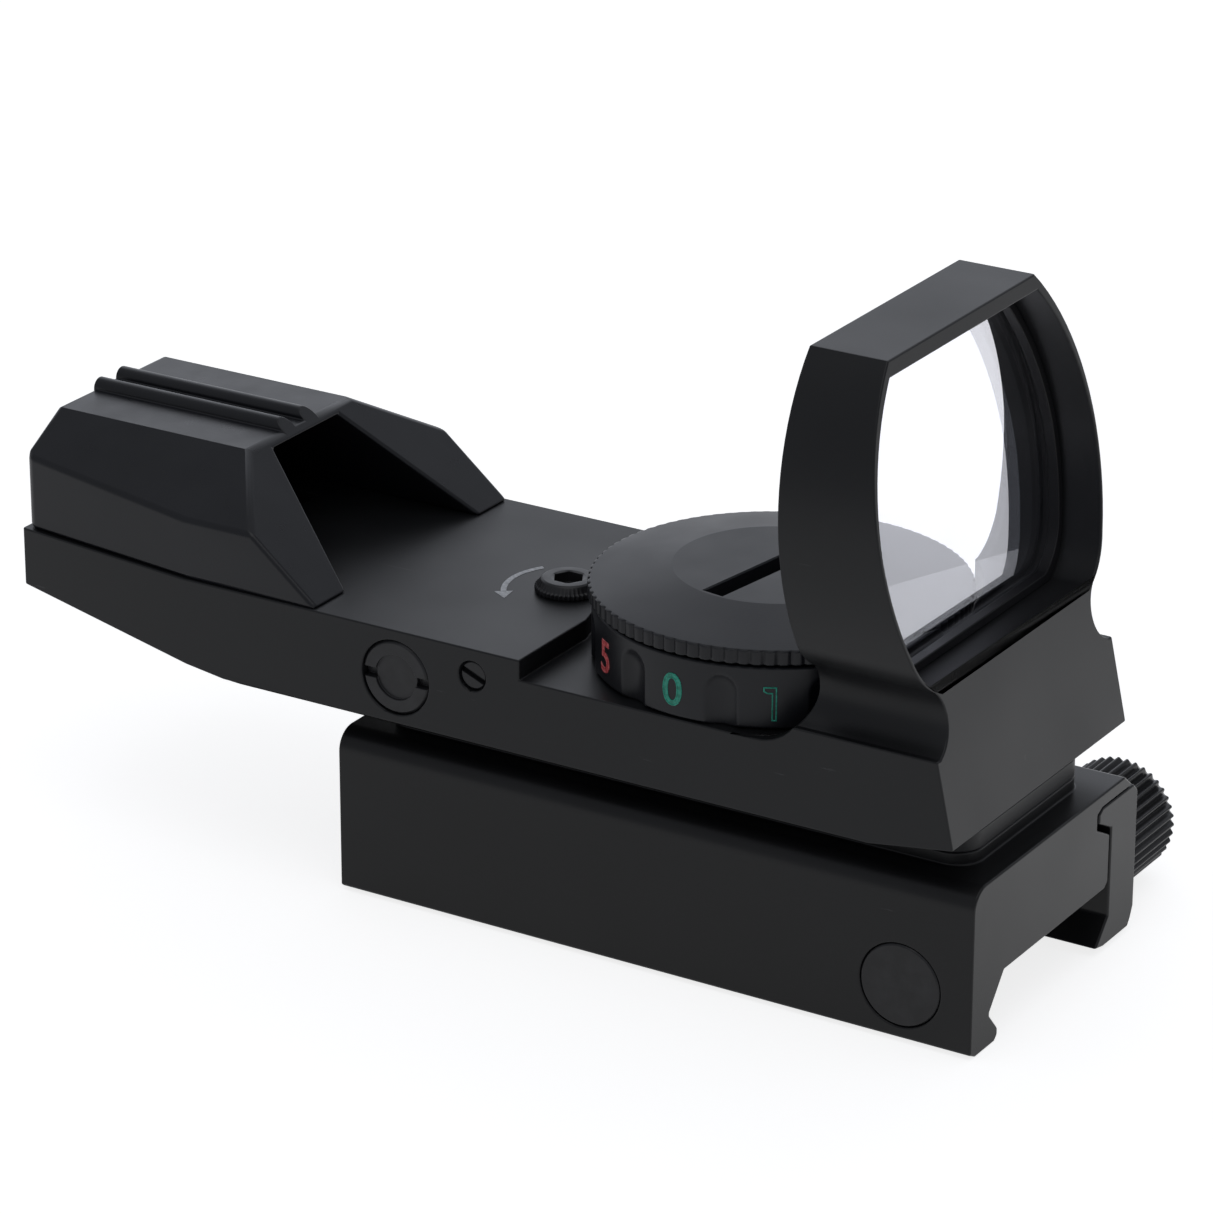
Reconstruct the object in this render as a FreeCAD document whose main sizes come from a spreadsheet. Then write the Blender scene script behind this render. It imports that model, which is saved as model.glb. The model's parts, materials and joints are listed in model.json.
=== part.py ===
"""Open reflex dot finder on a rail clamp, drawn as separate pieces.

Frame: millimetres, +X towards the lens end, +Y to the clamp's thumb nut, +Z up. The origin is the
centre of the clamp's seat, the flat that rests on top of the rail. Outlines and placements are
bound to the sheet "Dims" by expressions, so a change in one cell carries through the pieces;
springs, leads, figures and the arrow are worked out from its values.
"""

import FreeCAD, Part
import math
import os
import re
import Sketcher

os.makedirs("parts", exist_ok=True)

DIMS = {
    # rail clamp: one block, one sliding jaw, one cross bolt
    "mount_half": 31.1,        # half length of the clamp along the rail
    "mount_side": 13.9,        # fixed side face, from the rail's middle
    "mount_top": 9.2,
    "mount_foot": 6.0,         # depth of the fixed hook below the seat
    "rail_half": 10.6,         # half width of a standard 21.2 rail
    "rail_waist": 2.9,         # depth of the rail's widest line below its top
    "hook_tip": 9.1,
    "seat_edge": 8.2,          # where the seat turns down into the fixed side's relief
    "block_side": 10.6,        # moving side of the block
    "groove_in": 8.2,          # bottom of the groove that holds the jaw's nose
    "groove_top": 7.95,
    "groove_low": 4.9,
    "lip_end": 14.7,
    "base_round": 2.0,         # round on the block's upper edge
    "jaw_in": 10.85,
    "jaw_out": 15.75,
    "jaw_top": 7.85,
    "jaw_foot": 5.5,
    "jaw_nose": 8.5,           # how far in the jaw's upper nose and lower hook reach
    "plateau_top": 10.4,
    "foot_half_len": 28.6,
    "foot_half_wide": 10.4,
    "foot_corner": 2.5,
    "bolt_x": 24.4,
    "bolt_z": -0.8,
    "bolt_rad": 2.5,
    "bolt_head_rad": 3.7,
    "bolt_head_len": 3.0,
    "bolt_end": 25.4,
    "nut_rad": 5.2,
    "nut_neck_rad": 4.3,
    "nut_neck_end": 17.4,
    "nut_end": 27.2,
    "mount_screw_x": 17.0,
    "mount_screw_rad": 1.5,
    "mount_head_rad": 2.9,
    "mount_head_low": 0.7,
    "mount_head_top": 2.4,
    # sight body
    "body_half": 15.5,
    "body_low": 12.07,
    "deck": 20.67,
    "nose_x": 29.8,            # front face at nose_low
    "nose_low": 13.2,
    "nose_chamfer_x": 22.0,
    "lean": 0.217,             # the front face leans back this much per unit of height
    "tail_x": -65.1,
    "tail_low": 15.3,
    "tail_half": 13.1,
    "taper_x": -46.0,
    "belly_x": -42.0,
    "step_x": -11.5,
    "pocket_floor": 18.9,
    "scoop_rad": 4.45,
    "scoop_x": 15.75,
    "hoop_top": 52.55,
    "hoop_back_top": 14.1,
    "hoop_back_low": 26.0,
    "hoop_half": 18.7,         # widest half width of the lens hoop
    "hoop_wide_z": 38.0,
    "hoop_top_half": 12.5,
    "neck_rad": 3.0,           # round groove between the deck and the hoop
    "neck_top": 26.3,
    "neck_half": 14.6,
    "shoulder_half": 16.9,
    "shoulder_z": 29.4,
    "foot_rad": 6.4,           # the hoop's sides curve in towards the neck
    "flank_low_rad": 21.44,
    "flank_top_rad": 20.17,
    "top_taper": 0.42,         # the window's top corners follow the sides' lean
    "frame_wall": 0.45,        # wall of the hoop at its front edge
    "sill": 25.64,
    "sill_half": 12.9,
    "window_top": 51.2,
    "seat_step": 0.75,         # the lens seat and the bezel stand in from the window by this
    "bezel_depth": 3.6,        # along X, from the front face
    "lens_depth": 4.6,
    "lens_thick": 2.0,
    # inside of the body
    "cover_thick": 1.0,
    "cover_tail": -45.0,
    "cover_nose": 24.0,
    "cover_half": 9.25,
    "room_half": 9.3,
    "ceiling": 16.7,
    "high_ceiling": 18.6,
    "gimbal_ceiling": 18.3,
    "room_nose": 19.5,
    "room_step": -19.3,
    "gimbal_room_nose": -36.0,
    "gimbal_room_half": 6.2,
    "arm_room_tail": -50.0,
    "arm_room_floor": 14.2,
    "port_tail": -61.5,
    "port_nose": -47.5,
    "port_half": 7.5,
    "port_floor": 15.9,
    "port_low": 18.0,          # the port widens above this height
    "board_post_x": 9.8,       # posts for the dial card, from the dial's axis
    "board_post_y": 7.3,
    "board_post_rad": 1.6,
    "board_screw_rad": 0.8,
    "cover_screw_tail": -43.0,
    "cover_screw_nose": 22.0,
    "cover_screw_y": 7.3,
    "cover_screw_rad": 1.0,
    "cover_head_rad": 1.8,
    # emitter hood
    "hood_inset": 0.25,
    "hood_side_top": 26.14,
    "hood_top": 30.5,
    "hood_top_half": 7.8,
    "hood_nose": -32.1,
    "hood_slope": 1.221,       # run of the sloping front per unit of height
    "tunnel_half": 10.5,
    "tunnel_top": 29.85,
    "tunnel_top_half": 5.0,
    "tunnel_back": -61.9,
    "tab_tail": -64.0,         # tab that keys the hood into the body
    "tab_nose": -62.5,
    "tab_half": 5.0,
    "tab_low": 19.5,
    "rib_rad": 0.9,
    "rib_y": 1.65,
    "hood_screw_x": -40.0,
    "hood_screw_y": 13.4,
    "hood_screw_rad": 1.0,
    "hood_head_rad": 1.85,
    "hood_head_low": 0.4,      # above the body's underside
    "hood_head_top": 1.75,
    # emitter arm on its two-axis pivot
    "pivot_x": -40.0,
    "pivot_z": 15.9,
    "arm_half": 2.5,
    "arm_low": 14.8,
    "arm_top": 17.0,
    "tongue_low": 14.4,
    "tongue_top": 15.6,
    "tongue_tail": -20.5,
    "tongue_nose": -13.4,
    "tower_tail": -60.0,
    "tower_nose": -53.0,
    "tower_half": 4.8,
    "tower_top": 26.6,
    "tower_low": 18.0,
    "link_low": 16.5,
    "link_top": 18.1,
    "yoke_half_x": 1.9,
    "yoke_half_y": 5.2,
    "yoke_low": 13.17,
    "yoke_top": 18.1,
    "yoke_wall": 1.9,
    "yaw_pin_rad": 0.9,
    "pitch_pin_rad": 0.8,
    "pitch_pin_long": 3.6,
    "card_thick": 0.8,
    "led_z": 23.6,
    "led_rad": 2.5,
    # adjusters
    "elev_x": -16.3,
    "elev_head_top": 21.9,
    "elev_rim_rad": 2.95,
    "elev_top_rad": 2.35,
    "elev_rad": 1.8,
    "elev_end": 16.15,
    "elev_pin_rad": 1.0,
    "elev_pin_top": 18.9,
    "clip_low": 16.27,
    "clip_thick": 0.33,
    "pin_slack": 0.02,         # gap between a pin's domed tip and what it pushes
    "wind_x": -24.0,
    "wind_z": 16.3,
    "wind_rad": 3.35,
    "wind_dish": 2.05,         # shallow round recess in the plug's face
    "wind_dish_deep": 0.3,
    "wind_face": 15.45,
    "wind_shelf": 12.4,
    "wind_end": 8.6,
    "wind_stem_rad": 1.5,
    "wind_pin_rad": 0.9,
    "wind_pin_back": 12.3,
    "wind_clip": 9.2,
    "lock_x": -16.2,
    "lock_z": 18.2,
    "lock_rad": 1.3,
    "lock_sunk": 0.25,
    "lock_tip_rad": 0.8,
    # brightness dial with the battery inside it
    "dial_x": 4.2,
    "drum_rad": 15.45,
    "drum_low": 19.0,
    "drum_top": 24.5,
    "drum_floor": 20.3,
    "stops": 11,               # five green, five red and off
    "stop_out": 12.5,          # the stop ball's distance from the dial's axis
    "stop_ball_rad": 0.6,
    "flute_rad": 2.1,
    "flute_out": 16.9,
    "flute_top": 22.1,
    "cell_rad": 10.0,
    "cell_low": 20.35,
    "cell_thick": 3.2,
    "skirt_rad": 12.5,
    "skirt_low": 22.7,
    "skirt_wall": 1.2,
    "cap_inside": 24.1,
    "seal_in": 13.2,
    "seal_out": 14.2,
    "seal_deep": 0.5,
    "seal_rad": 0.38,
    "cap_rad": 15.8,
    "cap_low": 24.8,
    "cap_rim_top": 26.1,
    "cap_top": 27.4,
    "cap_disc_rad": 8.7,
    "slot_width": 1.95,
    "hub_rad": 4.0,
    "hub_end": 15.95,
    "hub_bore": 2.4,
    "dial_card_low": 14.6,
    "digit_tall": 2.9,
    "digit_wide": 1.75,
    "digit_stroke": 0.42,
    "digit_mid": 21.3,
    "running": 0.05,           # radial clearance of a shaft in its bore
}

SLOT_ANGLE = 81.4              # direction of the coin slot, in degrees from +X
LOCK_SLOT_ANGLE = 22.0         # tilt of the lock screw's slot, in degrees about +Y
OFF_ANGLE = -93.0              # where the dial's off panel faces at rest

doc = FreeCAD.newDocument("dot_finder")
sheet = doc.addObject("Spreadsheet::Sheet", "Dims")
for row, (alias, value) in enumerate(DIMS.items(), start=1):
    sheet.set(f"A{row}", alias)
    sheet.set(f"B{row}", str(value))
    sheet.setAlias(f"B{row}", alias)
doc.recompute()

WORD = re.compile(r"[a-z][a-z_]*")
NODES = {}


# ---- expressions ------------------------------------------------------------------------------

def bound(text):
    """The expression with each dimension's name pointed at its cell."""
    return WORD.sub(lambda m: f"Dims.{m[0]}" if m[0] in DIMS else m[0], str(text))


def number(text):
    """The expression's value now."""
    value = sheet.evalExpression(bound(text))
    return float(getattr(value, "Value", value))


def bind(obj, prop, text):
    obj.setExpression(prop, bound(text))


def place(obj, x="0", y="0", z="0"):
    for letter, text in zip("xyz", (x, y, z)):
        bind(obj, f"Placement.Base.{letter}", text)
    return obj


# ---- solids -----------------------------------------------------------------------------------

def box(name, x, y, z):
    """Part::Box between (low, high) pairs of expressions."""
    obj = doc.addObject("Part::Box", name)
    for prop, (low, high) in zip(("Length", "Width", "Height"), (x, y, z)):
        bind(obj, prop, f"({high}) - ({low})")
    return place(obj, x[0], y[0], z[0])


AXIS_TURN = {
    "X": FreeCAD.Rotation(FreeCAD.Vector(0, 1, 0), 90),
    "Y": FreeCAD.Rotation(FreeCAD.Vector(1, 0, 0), -90),
    "Z": FreeCAD.Rotation(),
}


def rod(name, radius, length, x="0", y="0", z="0", axis="Z"):
    """Part::Cylinder that starts at x, y, z and runs along +axis."""
    obj = doc.addObject("Part::Cylinder", name)
    bind(obj, "Radius", radius)
    bind(obj, "Height", length)
    obj.Placement.Rotation = AXIS_TURN[axis]
    return place(obj, x, y, z)


def ball(name, radius, x, y, z):
    obj = doc.addObject("Part::Sphere", name)
    bind(obj, "Radius", radius)
    return place(obj, x, y, z)


def fuse(name, *shapes):
    obj = doc.addObject("Part::MultiFuse", name)
    obj.Shapes = list(shapes)
    obj.Refine = True
    return obj


def common(name, *shapes):
    obj = doc.addObject("Part::MultiCommon", name)
    obj.Shapes = list(shapes)
    return obj


def cut(name, base, *tools):
    obj = doc.addObject("Part::Cut", name)
    obj.Base = base
    obj.Tool = tools[0] if len(tools) == 1 else fuse(f"{name}_tools", *tools)
    return obj


def group(name, *shapes):
    """Separate solids that share one node."""
    obj = doc.addObject("Part::Compound", name)
    obj.Links = list(shapes)
    return obj


def ring_of(name, shape, count, x="0", y="0", start=0.0):
    """Copies of a shape at even angles about a vertical axis."""
    copies = []
    centre = FreeCAD.Vector(number(x), number(y), 0)
    for step in range(count):
        link = doc.addObject("Part::Feature", f"{name}_{step}")
        doc.recompute()
        turned_copy = shape.Shape.copy()
        turned_copy.rotate(centre, FreeCAD.Vector(0, 0, 1), start + step * 360.0 / count)
        link.Shape = turned_copy
        copies.append(link)
    return copies


# ---- sketched solids --------------------------------------------------------------------------

PLANES = {"XY": "XY_Plane", "XZ": "XZ_Plane", "YZ": "YZ_Plane"}


def sketch_on(body, name, plane, points):
    """A closed outline of (across, up) expression pairs on one of the body's origin planes.

    A third entry bends the edge that leaves the point into an arc of that signed radius:
    positive bulges to the right of the direction of travel.
    """
    sketch = body.newObject("Sketcher::SketchObject", name)
    origin = [o for o in body.Origin.OriginFeatures if o.Role == PLANES[plane]][0]
    sketch.AttachmentSupport = [(origin, "")]
    sketch.MapMode = "FlatFace"
    at = [FreeCAD.Vector(number(p[0]), number(p[1]), 0) for p in points]
    for index, point in enumerate(points):
        start, end = at[index], at[(index + 1) % len(at)]
        if len(point) == 2:
            sketch.addGeometry(Part.LineSegment(start, end))
            continue
        radius = number(point[2])
        chord = end - start
        side = FreeCAD.Vector(chord.y, -chord.x, 0).normalize()
        rise = abs(radius) - math.sqrt(radius ** 2 - (chord.Length / 2) ** 2)
        top = (start + end) * 0.5 + side * math.copysign(rise, radius)
        sketch.addGeometry(Part.Arc(start, top, end))
    for index, point in enumerate(points):
        after = (index + 1) % len(points)
        ends = edge_ends(sketch, index, at[index])
        next_start = edge_ends(sketch, after, at[after])[0]
        sketch.addConstraint(Sketcher.Constraint("Coincident", index, ends[1], after, next_start))
        for kind, text in (("DistanceX", point[0]), ("DistanceY", point[1])):
            value = number(text)
            number_of = sketch.addConstraint(
                Sketcher.Constraint(kind, -1, 1, index, ends[0], value)
            )
            sketch.setExpression(f"Constraints[{number_of}]", bound(text))
        if len(point) == 3:
            number_of = sketch.addConstraint(
                Sketcher.Constraint("Radius", index, abs(number(point[2])))
            )
            sketch.setExpression(f"Constraints[{number_of}]", bound(f"abs({point[2]})"))
    return sketch


def edge_ends(sketch, index, start):
    """The edge's two end numbers in outline order: a sketched arc always runs counterclockwise."""
    return (1, 2) if (sketch.getPoint(index, 1) - start).Length < 1e-6 else (2, 1)


def prism(name, plane, points, low, high):
    """PartDesign body: an outline padded from low to high along its plane's normal.

    XY pads along +Z, YZ along +X and XZ along -Y, so XZ prisms give low and high in -Y.
    """
    body = doc.addObject("PartDesign::Body", name)
    sketch = sketch_on(body, f"{name}_outline", plane, points)
    bind(sketch, "AttachmentOffset.Base.z", low)
    pad = body.newObject("PartDesign::Pad", f"{name}_pad")
    pad.Profile = sketch
    bind(pad, "Length", f"({high}) - ({low})")
    sketch.Visibility = False
    body.Tip = pad
    return body


def turned(name, points, x="0", y="0", z="0", axis="Z"):
    """PartDesign body: an outline of (radius, along) pairs revolved about its own axis."""
    body = doc.addObject("PartDesign::Body", name)
    sketch = sketch_on(body, f"{name}_outline", "XZ", points)
    turn = body.newObject("PartDesign::Revolution", f"{name}_turn")
    turn.Profile = sketch
    turn.ReferenceAxis = (sketch, ["V_Axis"])
    turn.Angle = 360.0
    body.Tip = turn
    body.Placement.Rotation = AXIS_TURN[axis]
    return place(body, x, y, z)


def ring(name, inner, outer, low, high, x="0", y="0", z="0", axis="Z"):
    return turned(name, [(inner, low), (outer, low), (outer, high), (inner, high)], x, y, z, axis)


def rounded_plate(name, half_x, half_y, corner, low, high):
    """Rectangle about the origin with round corners, padded up."""
    straight_x, straight_y = f"{half_x} - {corner}", f"{half_y} - {corner}"
    points = [
        (f"-({straight_x})", f"-{half_y}"), (straight_x, f"-{half_y}", corner),
        (half_x, f"-({straight_y})"), (half_x, straight_y, corner),
        (straight_x, half_y), (f"-({straight_x})", half_y, corner),
        (f"-{half_x}", straight_y), (f"-{half_x}", f"-({straight_y})", corner),
    ]
    return prism(name, "XY", points, low, high)


def coil(name, radius, wire, low, high, turns, x, y, z, axis="Z"):
    """Round-wire spring: a helix swept with a circle; its free length runs from low to high."""
    coil_rad, wire_rad = number(radius), number(wire)
    start, end = number(low) + wire_rad, number(high) - wire_rad
    helix = Part.makeHelix((end - start) / turns, end - start, coil_rad)
    helix.translate(FreeCAD.Vector(0, 0, start))
    circle = Part.Circle(FreeCAD.Vector(coil_rad, 0, start), FreeCAD.Vector(0, 1, 0), wire_rad)
    profile = Part.Wire([circle.toShape()])
    obj = doc.addObject("Part::Feature", name)
    obj.Shape = Part.Wire(helix.Edges).makePipeShell([profile], True, True)
    obj.Placement = FreeCAD.Placement(
        FreeCAD.Vector(number(x), number(y), number(z)), AXIS_TURN[axis]
    )
    return obj


def keep(name, obj):
    """Hand a finished sub-part over under its node name."""
    obj.Label = name
    NODES[name] = obj
    return obj


# ---- clamp ------------------------------------------------------------------------------------

def bolt_hole(name, radius, low, high):
    return rod(name, radius, f"({high}) - ({low})", "bolt_x", low, "bolt_z", "Y")


def make_mount_base():
    block = prism("mount_block", "YZ", [
        ("-mount_side", "-jaw_foot"),
        ("1 - mount_side", "-mount_foot"),
        ("-hook_tip - 0.5", "-mount_foot"),
        ("-hook_tip", "-mount_foot + 0.45"),
        ("-hook_tip", "-mount_foot + 1.1"),
        ("-rail_half", "-rail_waist - 0.3"),
        ("-rail_half", "-rail_waist"),
        ("-seat_edge", "0"),
        ("block_side - 0.6", "0"),
        ("block_side", "0.5"),
        ("block_side", "groove_low"),
        ("groove_in", "groove_low + 1.25"),
        ("groove_in", "groove_top - 0.4"),
        ("groove_in + 0.8", "groove_top"),
        ("lip_end", "groove_top"),
        ("lip_end - 1.5", "mount_top"),
        ("base_round - mount_side", "mount_top", "base_round"),
        ("-mount_side", "mount_top - base_round"),
    ], "-mount_half", "mount_half")
    plateau = rounded_plate("plateau", "foot_half_len", "foot_half_wide", "foot_corner",
                            "mount_top - 0.5", "plateau_top")
    holes = [
        bolt_hole("bolt_hole", "bolt_rad + running", "-mount_side - 1", "mount_side"),
        bolt_hole("bolt_counterbore", "bolt_head_rad + running", "-mount_side - 1",
                  "bolt_head_len - mount_side"),
        box("bolt_relief", ("bolt_x - bolt_rad - 0.2", "bolt_x + bolt_rad + 0.2"),
            ("-seat_edge", "block_side + 1"), ("-1", "0.3")),
    ]
    for side, tag in (("", "front"), ("-", "rear")):
        x = f"{side}mount_screw_x"
        holes.append(rod(f"screw_hole_{tag}", "mount_screw_rad + 0.1", "plateau_top + 2", x, "0",
                         "-1"))
        holes.append(rod(f"screw_well_{tag}", "mount_head_rad + 0.15", "mount_head_top + 1", x,
                         "0", "-1"))
    keep("mount_base", cut("mount_base_cut", fuse("mount_body", block, plateau), *holes))


def make_jaw():
    plate = prism("jaw_plate", "YZ", [
        ("jaw_nose", "6.6"),
        ("jaw_in", "groove_low + 0.5"),
        ("jaw_in", "-rail_waist"),
        ("jaw_nose + 0.2", "-jaw_foot + 0.3"),
        ("jaw_nose + 1.7", "-jaw_foot"),
        ("jaw_out - 0.95", "-jaw_foot"),
        ("jaw_out - 0.45", "-jaw_foot + 0.7"),
        ("jaw_out", "-jaw_foot + 1.7"),
        ("jaw_out", "jaw_top - 0.75"),
        ("jaw_out - 0.75", "jaw_top"),
        ("jaw_nose + 0.6", "jaw_top"),
        ("jaw_nose", "jaw_top - 0.4"),
    ], "-mount_half", "mount_half")
    keep("clamp_jaw", cut("jaw_cut", plate, bolt_hole("jaw_hole", "bolt_rad + 0.1", "5", "20")))


def make_clamp_fasteners():
    keep("cross_bolt", turned("bolt_turned", [
        ("0", "-mount_side"),
        ("bolt_head_rad - 0.15", "-mount_side"),
        ("bolt_head_rad", "-mount_side + 0.15"),
        ("bolt_head_rad", "bolt_head_len - mount_side"),
        ("bolt_rad", "bolt_head_len - mount_side"),
        ("bolt_rad", "bolt_end - 0.5"),
        ("bolt_rad - 0.5", "bolt_end"),
        ("0", "bolt_end"),
    ], "bolt_x", "0", "bolt_z", "Y"))
    bore = "bolt_rad + running"
    keep("thumb_nut", turned("nut_turned", [
        (bore, "jaw_out + 0.05"),
        ("nut_neck_rad", "jaw_out + 0.05"),
        ("nut_neck_rad", "nut_neck_end"),
        ("nut_rad - 0.4", "nut_neck_end"),
        ("nut_rad", "nut_neck_end + 0.4"),
        ("nut_rad", "nut_end - 0.6"),
        ("nut_rad - 0.6", "nut_end"),
        (f"{bore} + 0.4", "nut_end"),
        (bore, "nut_end - 0.4"),
    ], "bolt_x", "0", "bolt_z", "Y"))
    screws = []
    for side, tag in (("", "front"), ("-", "rear")):
        shank = turned(f"mount_screw_{tag}", [
            ("0", "mount_head_low"), ("mount_head_rad", "mount_head_low"),
            ("mount_head_rad", "mount_head_top"), ("mount_screw_rad", "mount_head_top"),
            ("mount_screw_rad", "body_low + 0.8"), ("0", "body_low + 0.8"),
        ], f"{side}mount_screw_x")
        socket = rod(f"mount_socket_{tag}", "mount_screw_rad - 0.4", "1.3",
                     f"{side}mount_screw_x", "0", "mount_head_low - 0.2")
        screws.append(cut(f"mount_screw_cut_{tag}", shank, socket))
    keep("mount_screws", group("mount_screw_pair", *screws))


# ---- sight body -------------------------------------------------------------------------------

def leaning(z, depth="0"):
    """X of the leaning front plane at height z, moved back by depth."""
    return f"nose_x - lean * ({z} - nose_low) - ({depth})"


def leaning_slab(name, near, far):
    """Everything between two planes parallel to the front face, near and far being depths."""
    low, high = "22", "hoop_top + 4"
    return prism(name, "XZ", [
        (leaning(low, far), low), (leaning(low, near), low),
        (leaning(high, near), high), (leaning(high, far), high),
    ], "-hoop_half - 3", "hoop_half + 3")


def hoop_outline(inset, low, low_half, top):
    """Right half then left half of the hoop's or window's outline, standing in by inset."""
    right = [
        (low_half, low, "foot_rad"),
        (f"shoulder_half - {inset}", "shoulder_z", "flank_low_rad"),
        (f"hoop_half - {inset}", "hoop_wide_z", "flank_top_rad"),
        (f"hoop_top_half - {inset} + (hoop_top - {top}) * top_taper", top),
    ]
    left = [
        (f"-({right[3][0]})", top, "flank_top_rad"),
        (f"-({right[2][0]})", "hoop_wide_z", "flank_low_rad"),
        (f"-({right[1][0]})", "shoulder_z", "foot_rad"),
        (f"-({low_half})", low),
    ]
    return right + left


def window(name, extra, near, far):
    """Prism of the window, standing in by extra all round, between two depths along X."""
    inset = f"(frame_wall + {extra})"
    outline = hoop_outline(inset, f"(sill + {extra})", f"(sill_half - {extra})",
                           f"(window_top - {extra})")
    column = prism(f"{name}_column", "YZ", outline, "5", "nose_x + 4")
    return common(name, column, leaning_slab(f"{name}_slab", near, far))


def make_sight_body():
    side = prism("body_side", "XZ", [
        ("tail_x", "tail_low"),
        ("belly_x", "body_low"),
        ("nose_chamfer_x", "body_low"),
        ("nose_x", "nose_low"),
        (leaning("hoop_top"), "hoop_top"),
        ("hoop_back_top", "hoop_top"),
        ("scoop_x", "hoop_back_low"),
        ("scoop_x", "pocket_floor + scoop_rad", "-scoop_rad"),
        ("scoop_x - scoop_rad", "pocket_floor"),
        ("step_x", "pocket_floor"),
        ("step_x", "deck"),
        ("tail_x", "deck"),
    ], "-hoop_half - 2", "hoop_half + 2")
    plan = prism("body_plan", "XY", [
        ("tail_x - 1", "-tail_half"),
        ("taper_x", "-body_half"),
        ("nose_x + 2", "-body_half"),
        ("nose_x + 2", "body_half"),
        ("taper_x", "body_half"),
        ("tail_x - 1", "tail_half"),
    ], "body_low - 1", "deck")
    outline = hoop_outline("0", "neck_top", "neck_half", "hoop_top")
    hoop = prism("hoop_front", "YZ", [
        ("-neck_half", "deck + 0.16"), ("-neck_half - 0.3", "deck"),
        ("-neck_half - 0.3", "deck - 1"), ("neck_half + 0.3", "deck - 1"),
        ("neck_half + 0.3", "deck"), ("neck_half", "deck + 0.16", "-neck_rad"),
    ] + outline[:-1] + [(outline[-1][0], outline[-1][1], "-neck_rad")], "5", "nose_x + 4")
    solid = common("body_solid", side, fuse("body_blank", plan, hoop))

    rooms = [
        box("cover_recess", ("cover_tail - 0.05", "cover_nose + 0.05"),
            ("-room_half", "room_half"), ("body_low - 2", "body_low + cover_thick")),
        box("dial_room", ("room_step", "room_nose"), ("-room_half", "room_half"),
            ("body_low", "ceiling")),
        box("adjuster_room", ("gimbal_room_nose", "room_step"), ("-room_half", "room_half"),
            ("body_low", "high_ceiling")),
        box("gimbal_room", ("taper_x", "gimbal_room_nose"),
            ("-gimbal_room_half", "gimbal_room_half"), ("body_low", "gimbal_ceiling")),
        box("arm_room", ("arm_room_tail", "taper_x"), ("-gimbal_room_half", "gimbal_room_half"),
            ("arm_room_floor", "high_ceiling")),
        box("emitter_room", ("port_tail", "arm_room_tail"),
            ("-gimbal_room_half", "gimbal_room_half"), ("port_floor", "high_ceiling")),
        box("emitter_port", ("port_tail", "port_nose"), ("-port_half", "port_half"),
            ("port_low", "deck + 1")),
        box("hood_tab_slot", ("tab_tail - running", "tab_nose + running"),
            ("-tab_half - running", "tab_half + running"), ("tab_low - 0.1", "deck + 1")),
    ]
    bores = [
        rod("dial_well", "drum_rad + 1", "10.1", "dial_x", "0", "pocket_floor"),
        rod("hub_hole", "hub_rad + running", "4", "dial_x", "0", "ceiling - 1"),
        rod("detent_hole", "stop_ball_rad + running", "2.2", "dial_x - stop_out", "0", "17"),
        rod("elev_hole", "elev_rad + running", "6", "elev_x", "0", "ceiling - 1"),
        rod("wind_hole", "wind_stem_rad + running", "8", "wind_x", "-wind_shelf - 1", "wind_z", "Y"),
        rod("wind_well", "wind_rad + running", "5", "wind_x", "-wind_shelf - 5", "wind_z", "Y"),
        rod("lock_hole", "lock_rad + running", "body_half - elev_rad + 1", "lock_x",
            "-body_half - 1", "lock_z", "Y"),
        rod("yaw_hole_top", "yaw_pin_rad + 0.01", "2.2", "pivot_x", "0", "17.9"),
    ]
    for tag, y in (("near", "-hood_screw_y"), ("far", "hood_screw_y")):
        bores.append(rod(f"hood_hole_{tag}", "hood_screw_rad + running", "12", "hood_screw_x", y,
                         "body_low - 1"))
        bores.append(rod(f"hood_well_{tag}", "hood_head_rad + 0.1", "hood_head_top + 1.05",
                         "hood_screw_x", y, "body_low - 1"))
    for index, (x, y) in enumerate(cover_screw_places()):
        bores.append(rod(f"cover_thread_{index}", "cover_screw_rad + 0.02", "4", x, y,
                         "body_low"))
    card_top = "dial_card_low + card_thick"
    posts, post_holes = [], []
    for tag, x, y in board_post_places():
        posts.append(rod(f"board_post_{tag}", "board_post_rad", "1.8", x, y, card_top))
        post_holes.append(rod(f"board_thread_{tag}", "board_screw_rad + 0.02", "1.5", x, y,
                              f"{card_top} - 0.1"))
    openings = [
        window("window_front", "0", "-3", "lens_depth + lens_thick"),
        window("window_back", "seat_step", "lens_depth", "20"),
    ]
    hollow = cut("body_hollow", solid, *rooms, *bores, *openings)
    keep("sight_body", cut("body_posts_cut", fuse("body_posts", hollow, *posts), *post_holes))


def make_lens():
    keep("lens_glass", window("lens_plate", "0.04", "lens_depth", "lens_depth + lens_thick"))
    blank = window("bezel_blank", "0.03", "bezel_depth", "lens_depth")
    hole = window("bezel_hole", "seat_step", "bezel_depth - 1", "lens_depth + 1")
    keep("lens_bezel", cut("bezel_cut", blank, hole))


# ---- cover and its screws ---------------------------------------------------------------------

def cover_screw_places():
    """The two rear places, then the two front ones."""
    return [(x, y) for x in ("cover_screw_tail", "cover_screw_nose")
            for y in ("-cover_screw_y", "cover_screw_y")]


def board_post_places():
    return [("front", "dial_x + board_post_x", "board_post_y"),
            ("rear", "dial_x - board_post_x", "-board_post_y")]


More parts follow.
